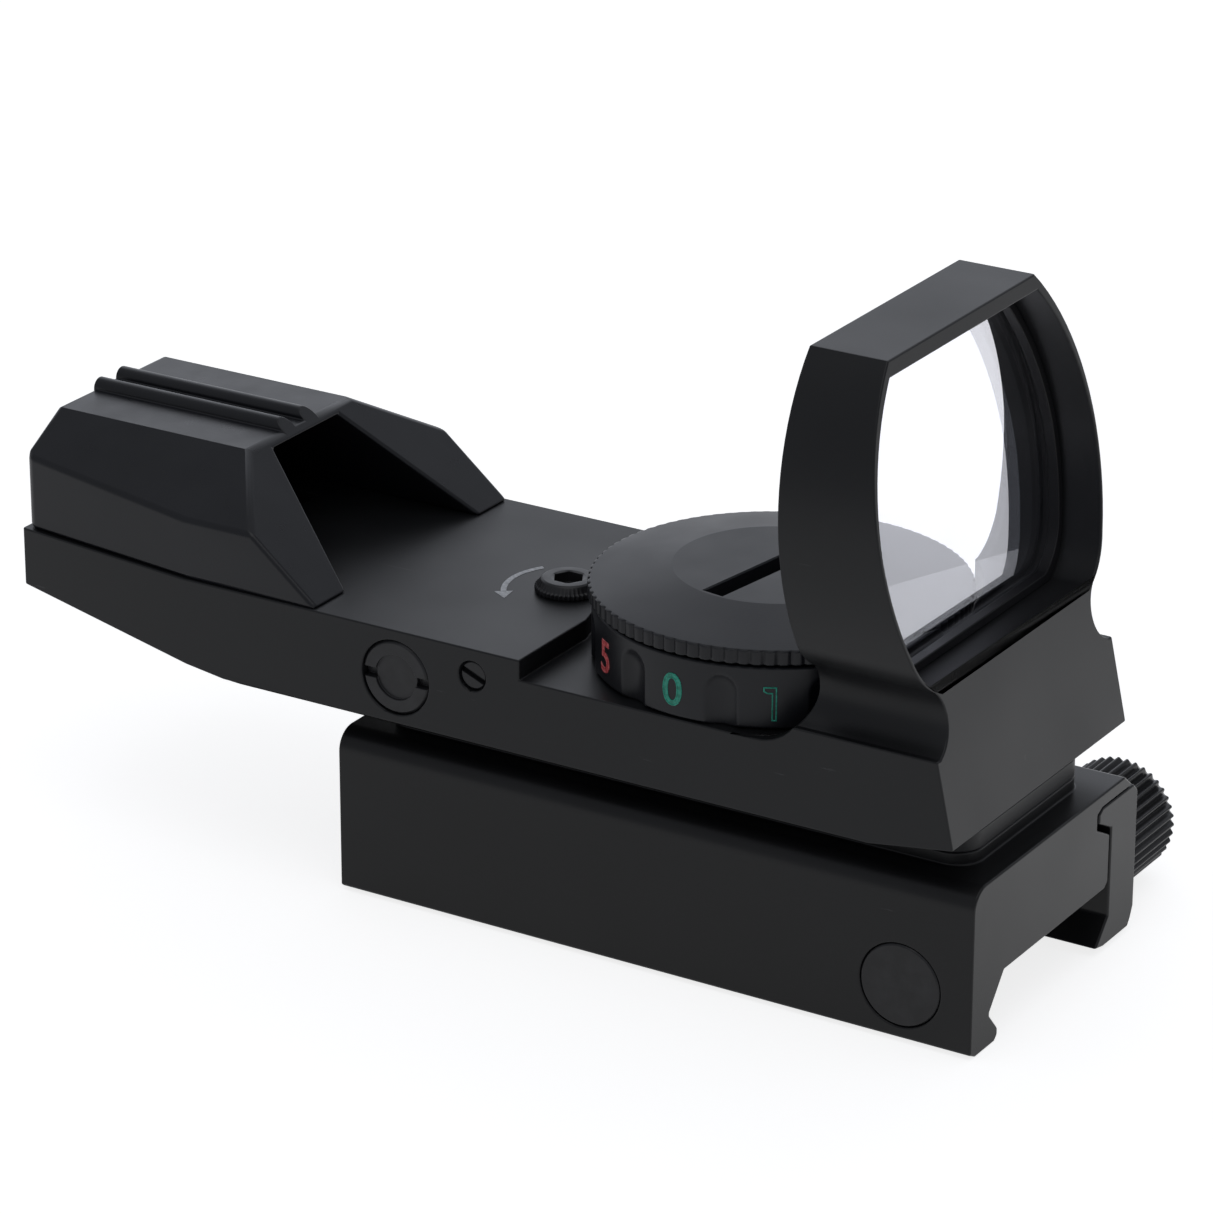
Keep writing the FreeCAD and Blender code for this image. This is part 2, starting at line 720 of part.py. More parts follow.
def make_cover():
    foot = rounded_plate("foot", "foot_half_len", "foot_half_wide", "foot_corner",
                         "plateau_top", "body_low")
    plate = box("cover_plate", ("cover_tail", "cover_nose"), ("-cover_half", "cover_half"),
                ("body_low", "body_low + cover_thick"))
    holes = [
        rod("mount_thread_front", "mount_screw_rad + 0.02", "5", "mount_screw_x", "0",
            "plateau_top - 1"),
        rod("mount_thread_rear", "mount_screw_rad + 0.02", "5", "-mount_screw_x", "0",
            "plateau_top - 1"),
        rod("yaw_hole_low", "yaw_pin_rad + 0.01", "1", "pivot_x", "0", "body_low + 0.4"),
    ]
    for index, (x, y) in enumerate(cover_screw_places()):
        low = "body_low - 1" if index < 2 else "plateau_top - 1"
        head = "1.45" if index < 2 else "2.0"
        holes.append(rod(f"cover_hole_{index}", "cover_screw_rad + 0.1", "5", x, y, low))
        holes.append(rod(f"cover_well_{index}", "cover_head_rad + 0.15", head, x, y, low))
    keep("bottom_cover", cut("cover_cut", fuse("cover_body", foot, plate), *holes))

    screws = []
    for index, (x, y) in enumerate(cover_screw_places()):
        head_low = "body_low + 0.02" if index < 2 else "plateau_top + 0.1"
        head_top = "body_low + 0.45" if index < 2 else "plateau_top + 0.98"
        shank = turned(f"cover_screw_{index}", [
            ("0", head_low), ("cover_head_rad", head_low), ("cover_head_rad", head_top),
            ("cover_screw_rad", head_top), ("cover_screw_rad", "body_low + 3.4"),
            ("0", "body_low + 3.4"),
        ], x, y)
        slot = box(f"cover_slot_{index}", (f"{x} - 2", f"{x} + 2"), (f"{y} - 0.2", f"{y} + 0.2"),
                   (f"{head_low} - 0.1", f"{head_low} + 0.25"))
        screws.append(cut(f"cover_screw_cut_{index}", shank, slot))
    keep("cover_screws", group("cover_screw_set", *screws))


# ---- emitter hood -----------------------------------------------------------------------------

def make_hood():
    """Roof with sloping flanks over straight sides; the flanks run on past the sides' plane."""
    rise = "(hood_top - hood_side_top) / (body_half - hood_inset - hood_top_half)"
    skirt = f"hood_side_top - (hood_inset + 1) * {rise}"
    section = prism("hood_section", "YZ", [
        ("-body_half - 1", "deck"), ("body_half + 1", "deck"),
        ("body_half + 1", skirt), ("hood_top_half", "hood_top"),
        ("-hood_top_half", "hood_top"), ("-body_half - 1", skirt),
    ], "tail_x - 2", "hood_nose + 2")
    half = "body_half - hood_inset"
    tail_half = "tail_half - hood_inset"
    plan = prism("hood_plan", "XY", [
        ("tail_x + hood_inset", f"-({tail_half}) + 0.6"),
        ("tail_x + hood_inset + 0.6", f"-({tail_half}) - 0.1"),
        ("taper_x", f"-({half})"), ("hood_nose + 1", f"-({half})"),
        ("hood_nose + 1", half), ("taper_x", half),
        ("tail_x + hood_inset + 0.6", f"{tail_half} + 0.1"),
        ("tail_x + hood_inset", f"{tail_half} - 0.6"),
    ], "deck - 1", "hood_top + 2")
    ribs = []
    for tag, y in (("near", "-rib_y"), ("far", "rib_y")):
        ribs.append(rod(f"hood_rib_{tag}", "rib_rad", "30", "tail_x + hood_inset", y,
                        "hood_top", "X"))
    slope = prism("hood_slope_cut", "XZ", [
        ("tail_x - 2", "deck"), ("hood_nose", "deck"),
        ("hood_nose - hood_slope * (hood_top + 2 - deck)", "hood_top + 2"),
        ("tail_x - 2", "hood_top + 2"),
    ], "-body_half - 2", "body_half + 2")
    tunnel = prism("hood_tunnel", "YZ", [
        ("-tunnel_half", "deck"), ("-tunnel_half", "deck - 1"), ("tunnel_half", "deck - 1"),
        ("tunnel_half", "deck"),
        ("tunnel_top_half", "tunnel_top"), ("-tunnel_top_half", "tunnel_top"),
    ], "tunnel_back", "hood_nose + 4")
    shell = common("hood_blank", fuse("hood_ribbed", common("hood_outer", section, plan), *ribs),
                   slope)
    tab = box("hood_tab", ("tab_tail", "tab_nose"), ("-tab_half", "tab_half"),
              ("tab_low", "deck + 1"))
    pilot = [
        rod(f"hood_pilot_{tag}", "hood_screw_rad + 0.02", "3.6", "hood_screw_x", y, "deck - 0.1")
        for tag, y in (("near", "-hood_screw_y"), ("far", "hood_screw_y"))
    ]
    hollow = cut("hood_hollow", shell, tunnel, *pilot)
    keep("emitter_hood", fuse("hood_with_tab", hollow, tab))

    screws = []
    for tag, y in (("near", "-hood_screw_y"), ("far", "hood_screw_y")):
        shank = turned(f"hood_screw_{tag}", [
            ("0", "body_low + hood_head_low"), ("hood_head_rad", "body_low + hood_head_low"),
            ("hood_head_rad", "body_low + hood_head_top"),
            ("hood_screw_rad", "body_low + hood_head_top"),
            ("hood_screw_rad", "deck + 3.3"), ("0", "deck + 3.3"),
        ], "hood_screw_x", y)
        socket = rod(f"hood_socket_{tag}", "0.75", "0.9", "hood_screw_x", y,
                     "body_low + hood_head_low - 0.1")
        screws.append(cut(f"hood_screw_cut_{tag}", shank, socket))
    keep("hood_screws", group("hood_screw_pair", *screws))


# ---- emitter arm, gimbal and light source -----------------------------------------------------

def make_emitter_arm():
    half = ("-arm_half", "arm_half")
    solid = fuse(
        "arm_blank",
        box("arm_beam", ("taper_x", "tongue_tail"), half, ("arm_low", "arm_top")),
        box("arm_tongue", ("tongue_tail - 0.5", "tongue_nose"), half,
            ("tongue_low", "tongue_top")),
        box("arm_link", ("tower_nose - 1", "taper_x + 1"), half, ("link_low", "link_top")),
        box("arm_tower", ("tower_tail", "tower_nose"), ("-tower_half", "tower_half"),
            ("tower_low", "tower_top")),
    )
    bore = rod("led_bore", "led_rad + 0.05", "8", "tower_tail - 0.5", "0", "led_z", "X")
    pin_holes = [
        rod("pitch_hole_near", "pitch_pin_rad + 0.04", "1.2", "pivot_x", "-arm_half - 0.1",
            "pivot_z", "Y"),
        rod("pitch_hole_far", "pitch_pin_rad + 0.04", "1.2", "pivot_x", "arm_half - 1.1",
            "pivot_z", "Y"),
    ]
    keep("emitter_arm", cut("arm_cut", solid, bore, *pin_holes))


def make_gimbal():
    outer = box("yoke_outer", ("pivot_x - yoke_half_x", "pivot_x + yoke_half_x"),
                ("-yoke_half_y", "yoke_half_y"), ("yoke_low", "yoke_top"))
    inner = box("yoke_inner", ("pivot_x - yoke_half_x - 1", "pivot_x + yoke_half_x + 1"),
                ("yoke_wall - yoke_half_y", "yoke_half_y - yoke_wall"),
                ("yoke_low + 1.28", "yoke_top - 0.75"))
    holes = [
        rod("yoke_yaw_hole", "yaw_pin_rad + running", "8", "pivot_x", "0", "body_low"),
        rod("yoke_pitch_hole", "pitch_pin_rad + 0.01", "2 * yoke_half_y + 2", "pivot_x",
            "-yoke_half_y - 1", "pivot_z", "Y"),
    ]
    keep("gimbal_yoke", cut("yoke_cut", outer, inner, *holes))
    keep("yaw_pivot_pins", group(
        "yaw_pins",
        rod("yaw_pin_top", "yaw_pin_rad", "2.6", "pivot_x", "0", "yoke_top - 0.65"),
        rod("yaw_pin_low", "yaw_pin_rad", "1.85", "pivot_x", "0", "body_low + 0.43"),
    ))
    keep("pitch_pivot_pins", group(
        "pitch_pins",
        rod("pitch_pin_near", "pitch_pin_rad", "pitch_pin_long", "pivot_x", "-yoke_half_y",
            "pivot_z", "Y"),
        rod("pitch_pin_far", "pitch_pin_rad", "pitch_pin_long", "pivot_x",
            "yoke_half_y - pitch_pin_long", "pivot_z", "Y"),
    ))


def make_light_source():
    board = box("led_card", ("tower_tail - running - card_thick", "tower_tail - running"),
                ("0.4 - tower_half", "tower_half - 0.4"), ("tower_low + 2", "tower_top - 0.2"))
    keep("led_board", board)
    keep("led_emitter", turned("led_bulb", [
        ("0", "0"), ("led_rad", "0"), ("led_rad", "3.2", "led_rad"), ("0", "3.2 + led_rad"),
    ], "tower_tail - 0.04", "0", "led_z", "X"))
    disc = rod("reticle_disc", "3.2", "0.4", "tower_nose + 0.02", "0", "led_z", "X")
    pinhole = rod("reticle_pinhole", "0.15", "2", "tower_nose - 1", "0", "led_z", "X")
    keep("reticle_plate", cut("reticle_cut", disc, pinhole))


def make_led_wires():
    """Two leads from the dial board, along the side of the room, to the back of the tower."""
    leads = []
    for index, drop in enumerate((0.0, 0.6)):
        path = [
            (-6.5, 6.8, 14.3 - drop), (-14, 7.6, 14.3 - drop), (-24, 7.7, 14.3 - drop),
            (-31, 7.5, 14.5 - drop), (-34, 6.5, 14.8 - drop), (-37, 5.8, 15.1 - drop),
            (-42, 5.76, 15.4 - drop), (-46, 5.78, 15.9 - drop), (-50, 5.8, 17.0 - drop),
            (-54, 5.85, 18.6 - drop), (-58, 6.1, 20.8 - drop), (-60.4, 6.05, 22.6 - drop),
        ]
        curve = Part.BSplineCurve()
        curve.interpolate([FreeCAD.Vector(*point) for point in path])
        start = curve.tangent(0)[0]
        profile = Part.Circle(FreeCAD.Vector(*path[0]), start, 0.25).toShape()
        lead = doc.addObject("Part::Feature", f"led_wire_{index}")
        lead.Shape = Part.Wire([curve.toShape()]).makePipeShell([Part.Wire([profile])], True, True)
        leads.append(lead)
    keep("led_wires", group("led_wire_pair", *leads))


# ---- elevation and windage --------------------------------------------------------------------

def hex_prism(name, across, low, high, x, y):
    """Hexagon of the given width across flats, padded up at x, y."""
    body = doc.addObject("PartDesign::Body", name)
    points = []
    for corner in range(6):
        angle = math.radians(60 * corner)
        reach = f"({across}) / 1.7320508"
        points.append((f"{reach} * {math.cos(angle):.6f}", f"{reach} * {math.sin(angle):.6f}"))
    sketch = sketch_on(body, f"{name}_outline", "XY", points)
    pad = body.newObject("PartDesign::Pad", f"{name}_pad")
    pad.Profile = sketch
    bind(pad, "Length", f"({high}) - ({low})")
    body.Tip = pad
    return place(body, x, y, low)


def dome(radius, height):
    """Sphere radius of a domed pin end of the given radius and height."""
    return f"({radius} ^ 2 + {height} ^ 2) / (2 * {height})"


def make_elevation():
    screw = turned("elev_turned", [
        ("0", "elev_end"),
        ("elev_rad", "elev_end"),
        ("elev_rad", "clip_low - 0.02"),
        ("elev_rad - 0.4", "clip_low - 0.02"),
        ("elev_rad - 0.4", "clip_low + clip_thick + 0.02"),
        ("elev_rad", "clip_low + clip_thick + 0.02"),
        ("elev_rad", "deck + running"),
        ("elev_rim_rad", "deck + running"),
        ("elev_rim_rad", "deck + 0.3"),
        ("elev_top_rad", "elev_head_top"),
        ("0", "elev_head_top"),
    ], "elev_x")
    socket = hex_prism("elev_socket", "2.45", "elev_head_top - 1", "elev_head_top + 1",
                       "elev_x", "0")
    bore = rod("elev_bore", "elev_pin_rad + running", "3.4", "elev_x", "0", "elev_end - 0.1")
    keep("elevation_screw", cut("elev_cut", screw, socket, bore))
    keep("elevation_clip", ring("elev_ring", "elev_rad - 0.35", "elev_rad + 1.2", "clip_low",
                                "clip_low + clip_thick", "elev_x"))
    keep("elevation_pusher", turned("elev_pin", [
        ("0", "tongue_top + pin_slack", dome("elev_pin_rad", "0.48")),
        ("elev_pin_rad", "tongue_top + pin_slack + 0.48"),
        ("elev_pin_rad", "elev_pin_top"), ("0", "elev_pin_top"),
    ], "elev_x"))
    keep("elevation_spring", coil("elev_coil", "1.3", "0.17", "body_low + cover_thick",
                                  "tongue_low", 3, "elev_x", "0", "0"))


def make_windage():
    plug = turned("wind_turned", [
        ("0", "-wind_face + wind_dish_deep"),
        ("wind_dish", "-wind_face + wind_dish_deep"),
        ("wind_dish", "-wind_face"),
        ("wind_rad - 0.25", "-wind_face"),
        ("wind_rad", "-wind_face + 0.25"),
        ("wind_rad", "-wind_shelf - 0.02"),
        ("wind_stem_rad", "-wind_shelf - 0.02"),
        ("wind_stem_rad", "-wind_clip - 0.02"),
        ("wind_stem_rad - 0.35", "-wind_clip - 0.02"),
        ("wind_stem_rad - 0.35", "-wind_clip + 0.34"),
        ("wind_stem_rad", "-wind_clip + 0.34"),
        ("wind_stem_rad", "-wind_end"),
        ("0", "-wind_end"),
    ], "wind_x", "0", "wind_z", "Y")
    slots = box("wind_slots", ("wind_x - wind_rad - 1", "wind_x + wind_rad + 1"),
                ("-wind_face - 1", "-wind_face + 0.8"), ("wind_z - 0.45", "wind_z + 0.45"))
    core = rod("wind_core", "wind_dish", "4", "wind_x", "-wind_face - 2", "wind_z", "Y")
    bore = rod("wind_bore", "wind_pin_rad + running", "wind_pin_back - wind_end + 0.6", "wind_x",
               "-wind_pin_back - 0.55", "wind_z", "Y")
    keep("windage_screw", cut("wind_cut", plug, cut("wind_slot_pair", slots, core), bore))
    keep("windage_clip", ring("wind_ring", "wind_stem_rad - 0.3", "wind_stem_rad + 0.7",
                              "-wind_clip", "-wind_clip + 0.32", "wind_x", "0", "wind_z", "Y"))
    keep("windage_pusher", turned("wind_pin", [
        ("0", "-wind_pin_back"), ("wind_pin_rad", "-wind_pin_back"),
        ("wind_pin_rad", "-arm_half - pin_slack - 0.38", dome("wind_pin_rad", "0.38")),
        ("0", "-arm_half - pin_slack"),
    ], "wind_x", "0", "wind_z", "Y"))
    keep("windage_spring", coil("wind_coil", "0.9", "0.15", "arm_half + 0.02",
                                "room_half - 0.02", 8, "wind_x", "0", "pivot_z", "Y"))


def make_lock_screw():
    face = "-body_half + lock_sunk"
    screw = turned("lock_turned", [
        ("0", face), ("lock_rad - 0.15", face), ("lock_rad", f"{face} + 0.15"),
        ("lock_rad", "-9"), ("lock_tip_rad", "-8.5"), ("lock_tip_rad", "-elev_rad - 0.1"),
        ("0", "-elev_rad - 0.1"),
    ], "lock_x", "0", "lock_z", "Y")
    slot = group("lock_slot_at_rest",
                 box("lock_slot", ("-2", "2"), (f"{face} - 1", f"{face} + 0.6"), ("-0.25", "0.25")))
    slot.Placement.Rotation = FreeCAD.Rotation(FreeCAD.Vector(0, 1, 0), LOCK_SLOT_ANGLE)
    keep("lock_screw", cut("lock_cut", screw, place(slot, "lock_x", "0", "lock_z")))


def make_elevation_mark():
    """Curved arrow painted on the deck beside the elevation screw: the way that raises the dot."""
    thick, reach, half_stroke = 0.02, 5.6, 0.25
    sweep, start, tip_angle = 70, 145, math.radians(35)
    head_half, head_long = 0.8, 1.6
    centre = FreeCAD.Vector(number("elev_x"), 0, number("deck"))
    up = FreeCAD.Vector(0, 0, 1)
    band = Part.makeCylinder(reach + half_stroke, thick, centre, up).cut(
        Part.makeCylinder(reach - half_stroke, thick, centre, up))
    wedge = Part.makeCylinder(reach + 2, thick, centre, up, sweep)
    wedge.rotate(centre, up, start)
    across = FreeCAD.Vector(math.cos(tip_angle), math.sin(tip_angle), 0)
    along = FreeCAD.Vector(math.sin(tip_angle), -math.cos(tip_angle), 0)
    tip = centre - across * reach
    head = Part.Face(Part.makePolygon([
        tip + across * head_half, tip - across * head_half, tip + along * head_long,
        tip + across * head_half,
    ])).extrude(up * thick)
    mark = doc.addObject("Part::Feature", "arrow_mark")
    mark.Shape = band.common(wedge).fuse(head).removeSplitter()
    keep("elevation_mark", mark)


# ---- brightness dial --------------------------------------------------------------------------

def make_drum():
    drum = turned("drum_turned", [
        ("hub_bore", "hub_end"), ("hub_rad", "hub_end"), ("hub_rad", "hub_end + 0.2"),
        ("hub_rad - 0.4", "hub_end + 0.2"), ("hub_rad - 0.4", "hub_end + 0.63"),
        ("hub_rad", "hub_end + 0.63"),
        ("hub_rad", "drum_low"), ("drum_rad", "drum_low"), ("drum_rad", "drum_top"),
        ("skirt_rad + running", "drum_top"), ("skirt_rad + running", "skirt_low - 0.1"),
        ("cell_rad + 0.3", "skirt_low - 0.1"), ("cell_rad + 0.3", "drum_floor"),
        ("hub_bore", "drum_floor"),
    ], "dial_x")
    flute = fuse(
        "flute",
        rod("flute_side", "flute_rad", "flute_top - drum_low + 1", "dial_x + flute_out", "0",
            "drum_low - 1"),
        ball("flute_end", "flute_rad", "dial_x + flute_out", "0", "flute_top"),
    )
    dimple = ball("dimple", "stop_ball_rad", "dial_x + stop_out", "0", "drum_low - 0.35")
    stops = int(number("stops"))
    half_step = 180.0 / stops
    cuts = ring_of("flute_at", flute, stops, "dial_x", "0", OFF_ANGLE + half_step)
    cuts += ring_of("dimple_at", dimple, stops, "dial_x", "0", 180.0)
    keep("brightness_drum", cut("drum_cut", drum, *cuts))


# which of the seven strokes each digit uses: top, upper left, upper right, middle, lower left,
# lower right, bottom
STROKES = {
    0: (1, 1, 1, 0, 1, 1, 1),
    1: (0, 0, 1, 0, 0, 1, 0),
    2: (1, 0, 1, 1, 1, 0, 1),
    3: (1, 0, 1, 1, 0, 1, 1),
    4: (0, 1, 1, 1, 0, 1, 0),
    5: (1, 1, 0, 1, 0, 1, 1),
}


def digit_shape(digit, angle):
    """A digit as a thin solid on the drum's wall, facing out at the given angle."""
    tall, wide, stroke = number("digit_tall"), number("digit_wide"), number("digit_stroke")
    half_tall, half_wide = tall / 2, wide / 2
    rows = {0: half_tall - stroke, 3: -stroke / 2, 6: -half_tall}
    columns = {1: (-half_wide, 0), 2: (half_wide - stroke, 0),
               4: (-half_wide, -half_tall), 5: (half_wide - stroke, -half_tall)}
    rad = number("drum_rad")
    strokes = []
    for index, used in enumerate(STROKES[digit]):
        if not used:
            continue
        if index in rows:
            corner, size = (rad - 1, -half_wide, rows[index]), (2, wide, stroke)
        else:
            across, low = columns[index]
            corner, size = (rad - 1, across, low), (2, stroke, half_tall)
        strokes.append(Part.makeBox(*size, FreeCAD.Vector(*corner)))
    shape = strokes[0].multiFuse(strokes[1:]) if len(strokes) > 1 else strokes[0]
    shape.translate(FreeCAD.Vector(0, 0, number("digit_mid")))
    wall = Part.makeCylinder(rad + 0.05, 8, FreeCAD.Vector(0, 0, 18)).cut(
        Part.makeCylinder(rad + 0.01, 8, FreeCAD.Vector(0, 0, 18)))
    shape = shape.common(wall).removeSplitter()
    shape.rotate(FreeCAD.Vector(), FreeCAD.Vector(0, 0, 1), angle)
    shape.translate(FreeCAD.Vector(number("dial_x"), 0, 0))
    return shape


def make_numbers():
    stops = int(number("stops"))
    for colour, digits, first in (("green", range(0, 6), 0), ("red", range(1, 6), 6)):
        solids = []
        for place_on, digit in enumerate(digits, start=first):
            angle = OFF_ANGLE + place_on * 360.0 / stops
            solid = doc.addObject("Part::Feature", f"digit_{colour}_{digit}")
            solid.Shape = digit_shape(digit, angle)
            solids.append(solid)
        keep(f"dial_numbers_{colour}", group(f"numbers_{colour}", *solids))


def make_dial_inside():
    """Hub clip, contact bar under the hub, and the card it wipes with its screws and stop ball."""
    keep("dial_clip", ring("dial_ring", "hub_rad - 0.35", "hub_rad + 2", "hub_end + 0.23",
                           "hub_end + 0.6", "dial_x"))
    bar_low, bar_top = "hub_end - 0.25", "hub_end - 0.02"
    bar = box("wiper_bar", ("dial_x - 7.5", "dial_x + 7.5"), ("-1.2", "1.2"), (bar_low, bar_top))
    hole = rod("wiper_hole", "hub_bore", "4", "dial_x", "0", "14")
    disc = rod("wiper_disc", "hub_rad - 0.2", f"({bar_top}) - ({bar_low})", "dial_x", "0", bar_low)
    fingers = [
        rod("wiper_tip_near", "0.45", "0.4", "dial_x - 6.9", "0", "hub_end - 0.5"),
        rod("wiper_tip_far", "0.45", "0.4", "dial_x + 6.9", "0", "hub_end - 0.5"),
    ]
    keep("dial_wiper", cut("wiper_cut", fuse("wiper_blank", bar, disc, *fingers), hole))

    card = box("dial_card", ("dial_x - 11.6", "dial_x + 11.8"), ("-8.9", "8.9"),
               ("dial_card_low", "dial_card_low + card_thick"))
    head_top, screw_top = "dial_card_low - 0.02", "dial_card_low + 2"
    holes, screws = [], []
    for tag, x, y in board_post_places():
        holes.append(rod(f"card_hole_{tag}", "board_screw_rad + 0.1", "2", x, y, "14"))
        screws.append(turned(f"board_screw_{tag}", [
            ("0", "dial_card_low - 0.7"), ("1.4", "dial_card_low - 0.7"), ("1.4", head_top),
            ("board_screw_rad", head_top), ("board_screw_rad", screw_top), ("0", screw_top),
        ], x, y))
    keep("dial_board", cut("card_cut", card, *holes))
    keep("board_screws", group("board_screw_pair", *screws))

    keep("detent_ball", ball("stop_ball", "stop_ball_rad", "dial_x - stop_out", "0",
                             "drum_low - stop_ball_rad - 0.02"))
    keep("detent_spring", coil("stop_coil", "0.4", "0.08", "17.01",
                               "drum_low - 2 * stop_ball_rad - 0.04", 4, "dial_x - stop_out",
                               "0", "0"))


def make_battery():
    keep("battery_cell", turned("cell", [
        ("0", "cell_low"), ("cell_rad - 1.1", "cell_low"), ("cell_rad - 1.1", "cell_low + 0.3"),
        ("cell_rad", "cell_low + 0.5"), ("cell_rad", "cell_low + cell_thick"),
        ("0", "cell_low + cell_thick"),
    ], "dial_x"))
    keep("battery_spring", coil("cell_coil", "1.7", "0.2", "dial_card_low + card_thick + 0.02",
                                "cell_low - 0.02", 6, "dial_x", "0", "0"))
    keep("cap_contact", turned("contact_disc", [
        ("0", "23.85"), ("2", "23.85"), ("5.5", "23.6"), ("7", "23.6"), ("7", "23.8"),
        ("5.6", "23.8"), ("2.1", "24.08"), ("0", "24.08"),
    ], "dial_x"))


def make_cap():
    cap = turned("cap_turned", [
        ("0", "cap_inside"),
        ("skirt_rad - skirt_wall", "cap_inside"),
        ("skirt_rad - skirt_wall", "skirt_low"),
        ("skirt_rad", "skirt_low"),
        ("skirt_rad", "cap_low"),
        ("seal_in", "cap_low"),
        ("seal_in", "cap_low + seal_deep"),
        ("seal_out", "cap_low + seal_deep"),
        ("seal_out", "cap_low"),
        ("cap_rad", "cap_low"),
        ("cap_rad", "cap_rim_top - 0.15"),
        ("cap_rad - 0.25", "cap_rim_top"),
        ("cap_disc_rad", "cap_top"),
        ("0", "cap_top"),
    ], "dial_x")
    slot = group("coin_slot_at_rest",
                 box("coin_slot", ("-cap_disc_rad + 0.4", "cap_disc_rad - 0.4"),
                     ("-slot_width / 2", "slot_width / 2"), ("cap_top - 1.5", "cap_top + 1")))
    slot.Placement.Rotation = FreeCAD.Rotation(FreeCAD.Vector(0, 0, 1), SLOT_ANGLE)
    keep("battery_cap", cut("cap_cut", cap, place(slot, "dial_x")))
    seal = doc.addObject("Part::Torus", "seal_ring")
    bind(seal, "Radius1", "(seal_in + seal_out) / 2")
    bind(seal, "Radius2", "seal_rad")
    keep("cap_seal", place(seal, "dial_x", "0", "drum_top + 0.4"))


# ---- build, check, write ----------------------------------------------------------------------

make_mount_base()
make_jaw()
make_clamp_fasteners()
make_sight_body()
make_lens()
make_cover()
make_hood()
make_emitter_arm()
make_gimbal()
make_light_source()
make_led_wires()
make_elevation()
make_windage()
make_lock_screw()
make_elevation_mark()
make_drum()
make_numbers()
make_dial_inside()
make_battery()
make_cap()
doc.recompute()

faults = [o.Label for o in doc.Objects if {"Invalid", "Error"} & set(o.State)]
for name, obj in NODES.items():
    if obj.Shape.isNull() or not obj.Shape.isValid() or not obj.Shape.Solids:
        faults.append(name)
if faults:
    raise RuntimeError(f"not built: {faults}")
for name, obj in NODES.items():
    obj.Shape.exportStep(os.path.join("parts", f"{name}.step"))
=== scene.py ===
import json
import math

import bmesh
import bpy
from mathutils import Matrix, Vector

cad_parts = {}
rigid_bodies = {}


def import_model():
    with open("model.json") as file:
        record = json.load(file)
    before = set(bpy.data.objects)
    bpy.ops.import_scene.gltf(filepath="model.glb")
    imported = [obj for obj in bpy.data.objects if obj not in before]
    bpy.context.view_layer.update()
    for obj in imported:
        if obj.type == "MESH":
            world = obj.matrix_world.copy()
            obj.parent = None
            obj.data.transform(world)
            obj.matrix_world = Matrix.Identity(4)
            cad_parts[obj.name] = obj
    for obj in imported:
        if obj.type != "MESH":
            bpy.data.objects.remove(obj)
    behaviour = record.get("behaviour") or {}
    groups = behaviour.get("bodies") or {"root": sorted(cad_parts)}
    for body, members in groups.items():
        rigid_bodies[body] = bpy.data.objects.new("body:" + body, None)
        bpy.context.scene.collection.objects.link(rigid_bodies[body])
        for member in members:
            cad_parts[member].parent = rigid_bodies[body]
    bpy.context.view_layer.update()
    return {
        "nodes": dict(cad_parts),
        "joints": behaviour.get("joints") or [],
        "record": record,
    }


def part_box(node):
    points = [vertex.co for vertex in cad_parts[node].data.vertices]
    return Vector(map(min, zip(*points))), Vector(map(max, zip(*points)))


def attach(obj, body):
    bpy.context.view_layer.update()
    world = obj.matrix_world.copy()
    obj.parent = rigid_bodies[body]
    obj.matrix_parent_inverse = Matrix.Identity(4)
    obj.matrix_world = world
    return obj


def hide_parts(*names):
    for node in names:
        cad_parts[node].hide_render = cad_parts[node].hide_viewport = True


for spare in list(bpy.data.objects):
    bpy.data.objects.remove(spare)
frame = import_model()

MM = 0.001
TURN = 2 * math.pi
NODES = frame["nodes"]
SLOTS = {row["node"]: row["material_slot"] for row in frame["record"]["subparts"]}
AXES = {joint["name"]: joint for joint in frame["joints"]}


# ---- places taken from the CAD ----------------------------------------------------------------

def low(node):
    """Lowest corner of a node, in millimetres."""
    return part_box(node)[0] / MM


def high(node):
    """Highest corner of a node, in millimetres."""
    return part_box(node)[1] / MM


def middle(node):
    return (low(node) + high(node)) / 2


def radius_of(node, axis="y"):
    """Half the width of a turned node."""
    return (getattr(high(node), axis) - getattr(low(node), axis)) / 2


def pivot(joint):
    """A hinge's point, in millimetres."""
    return Vector(AXES[joint]["pos_m"]) / MM


# ---- materials --------------------------------------------------------------------------------

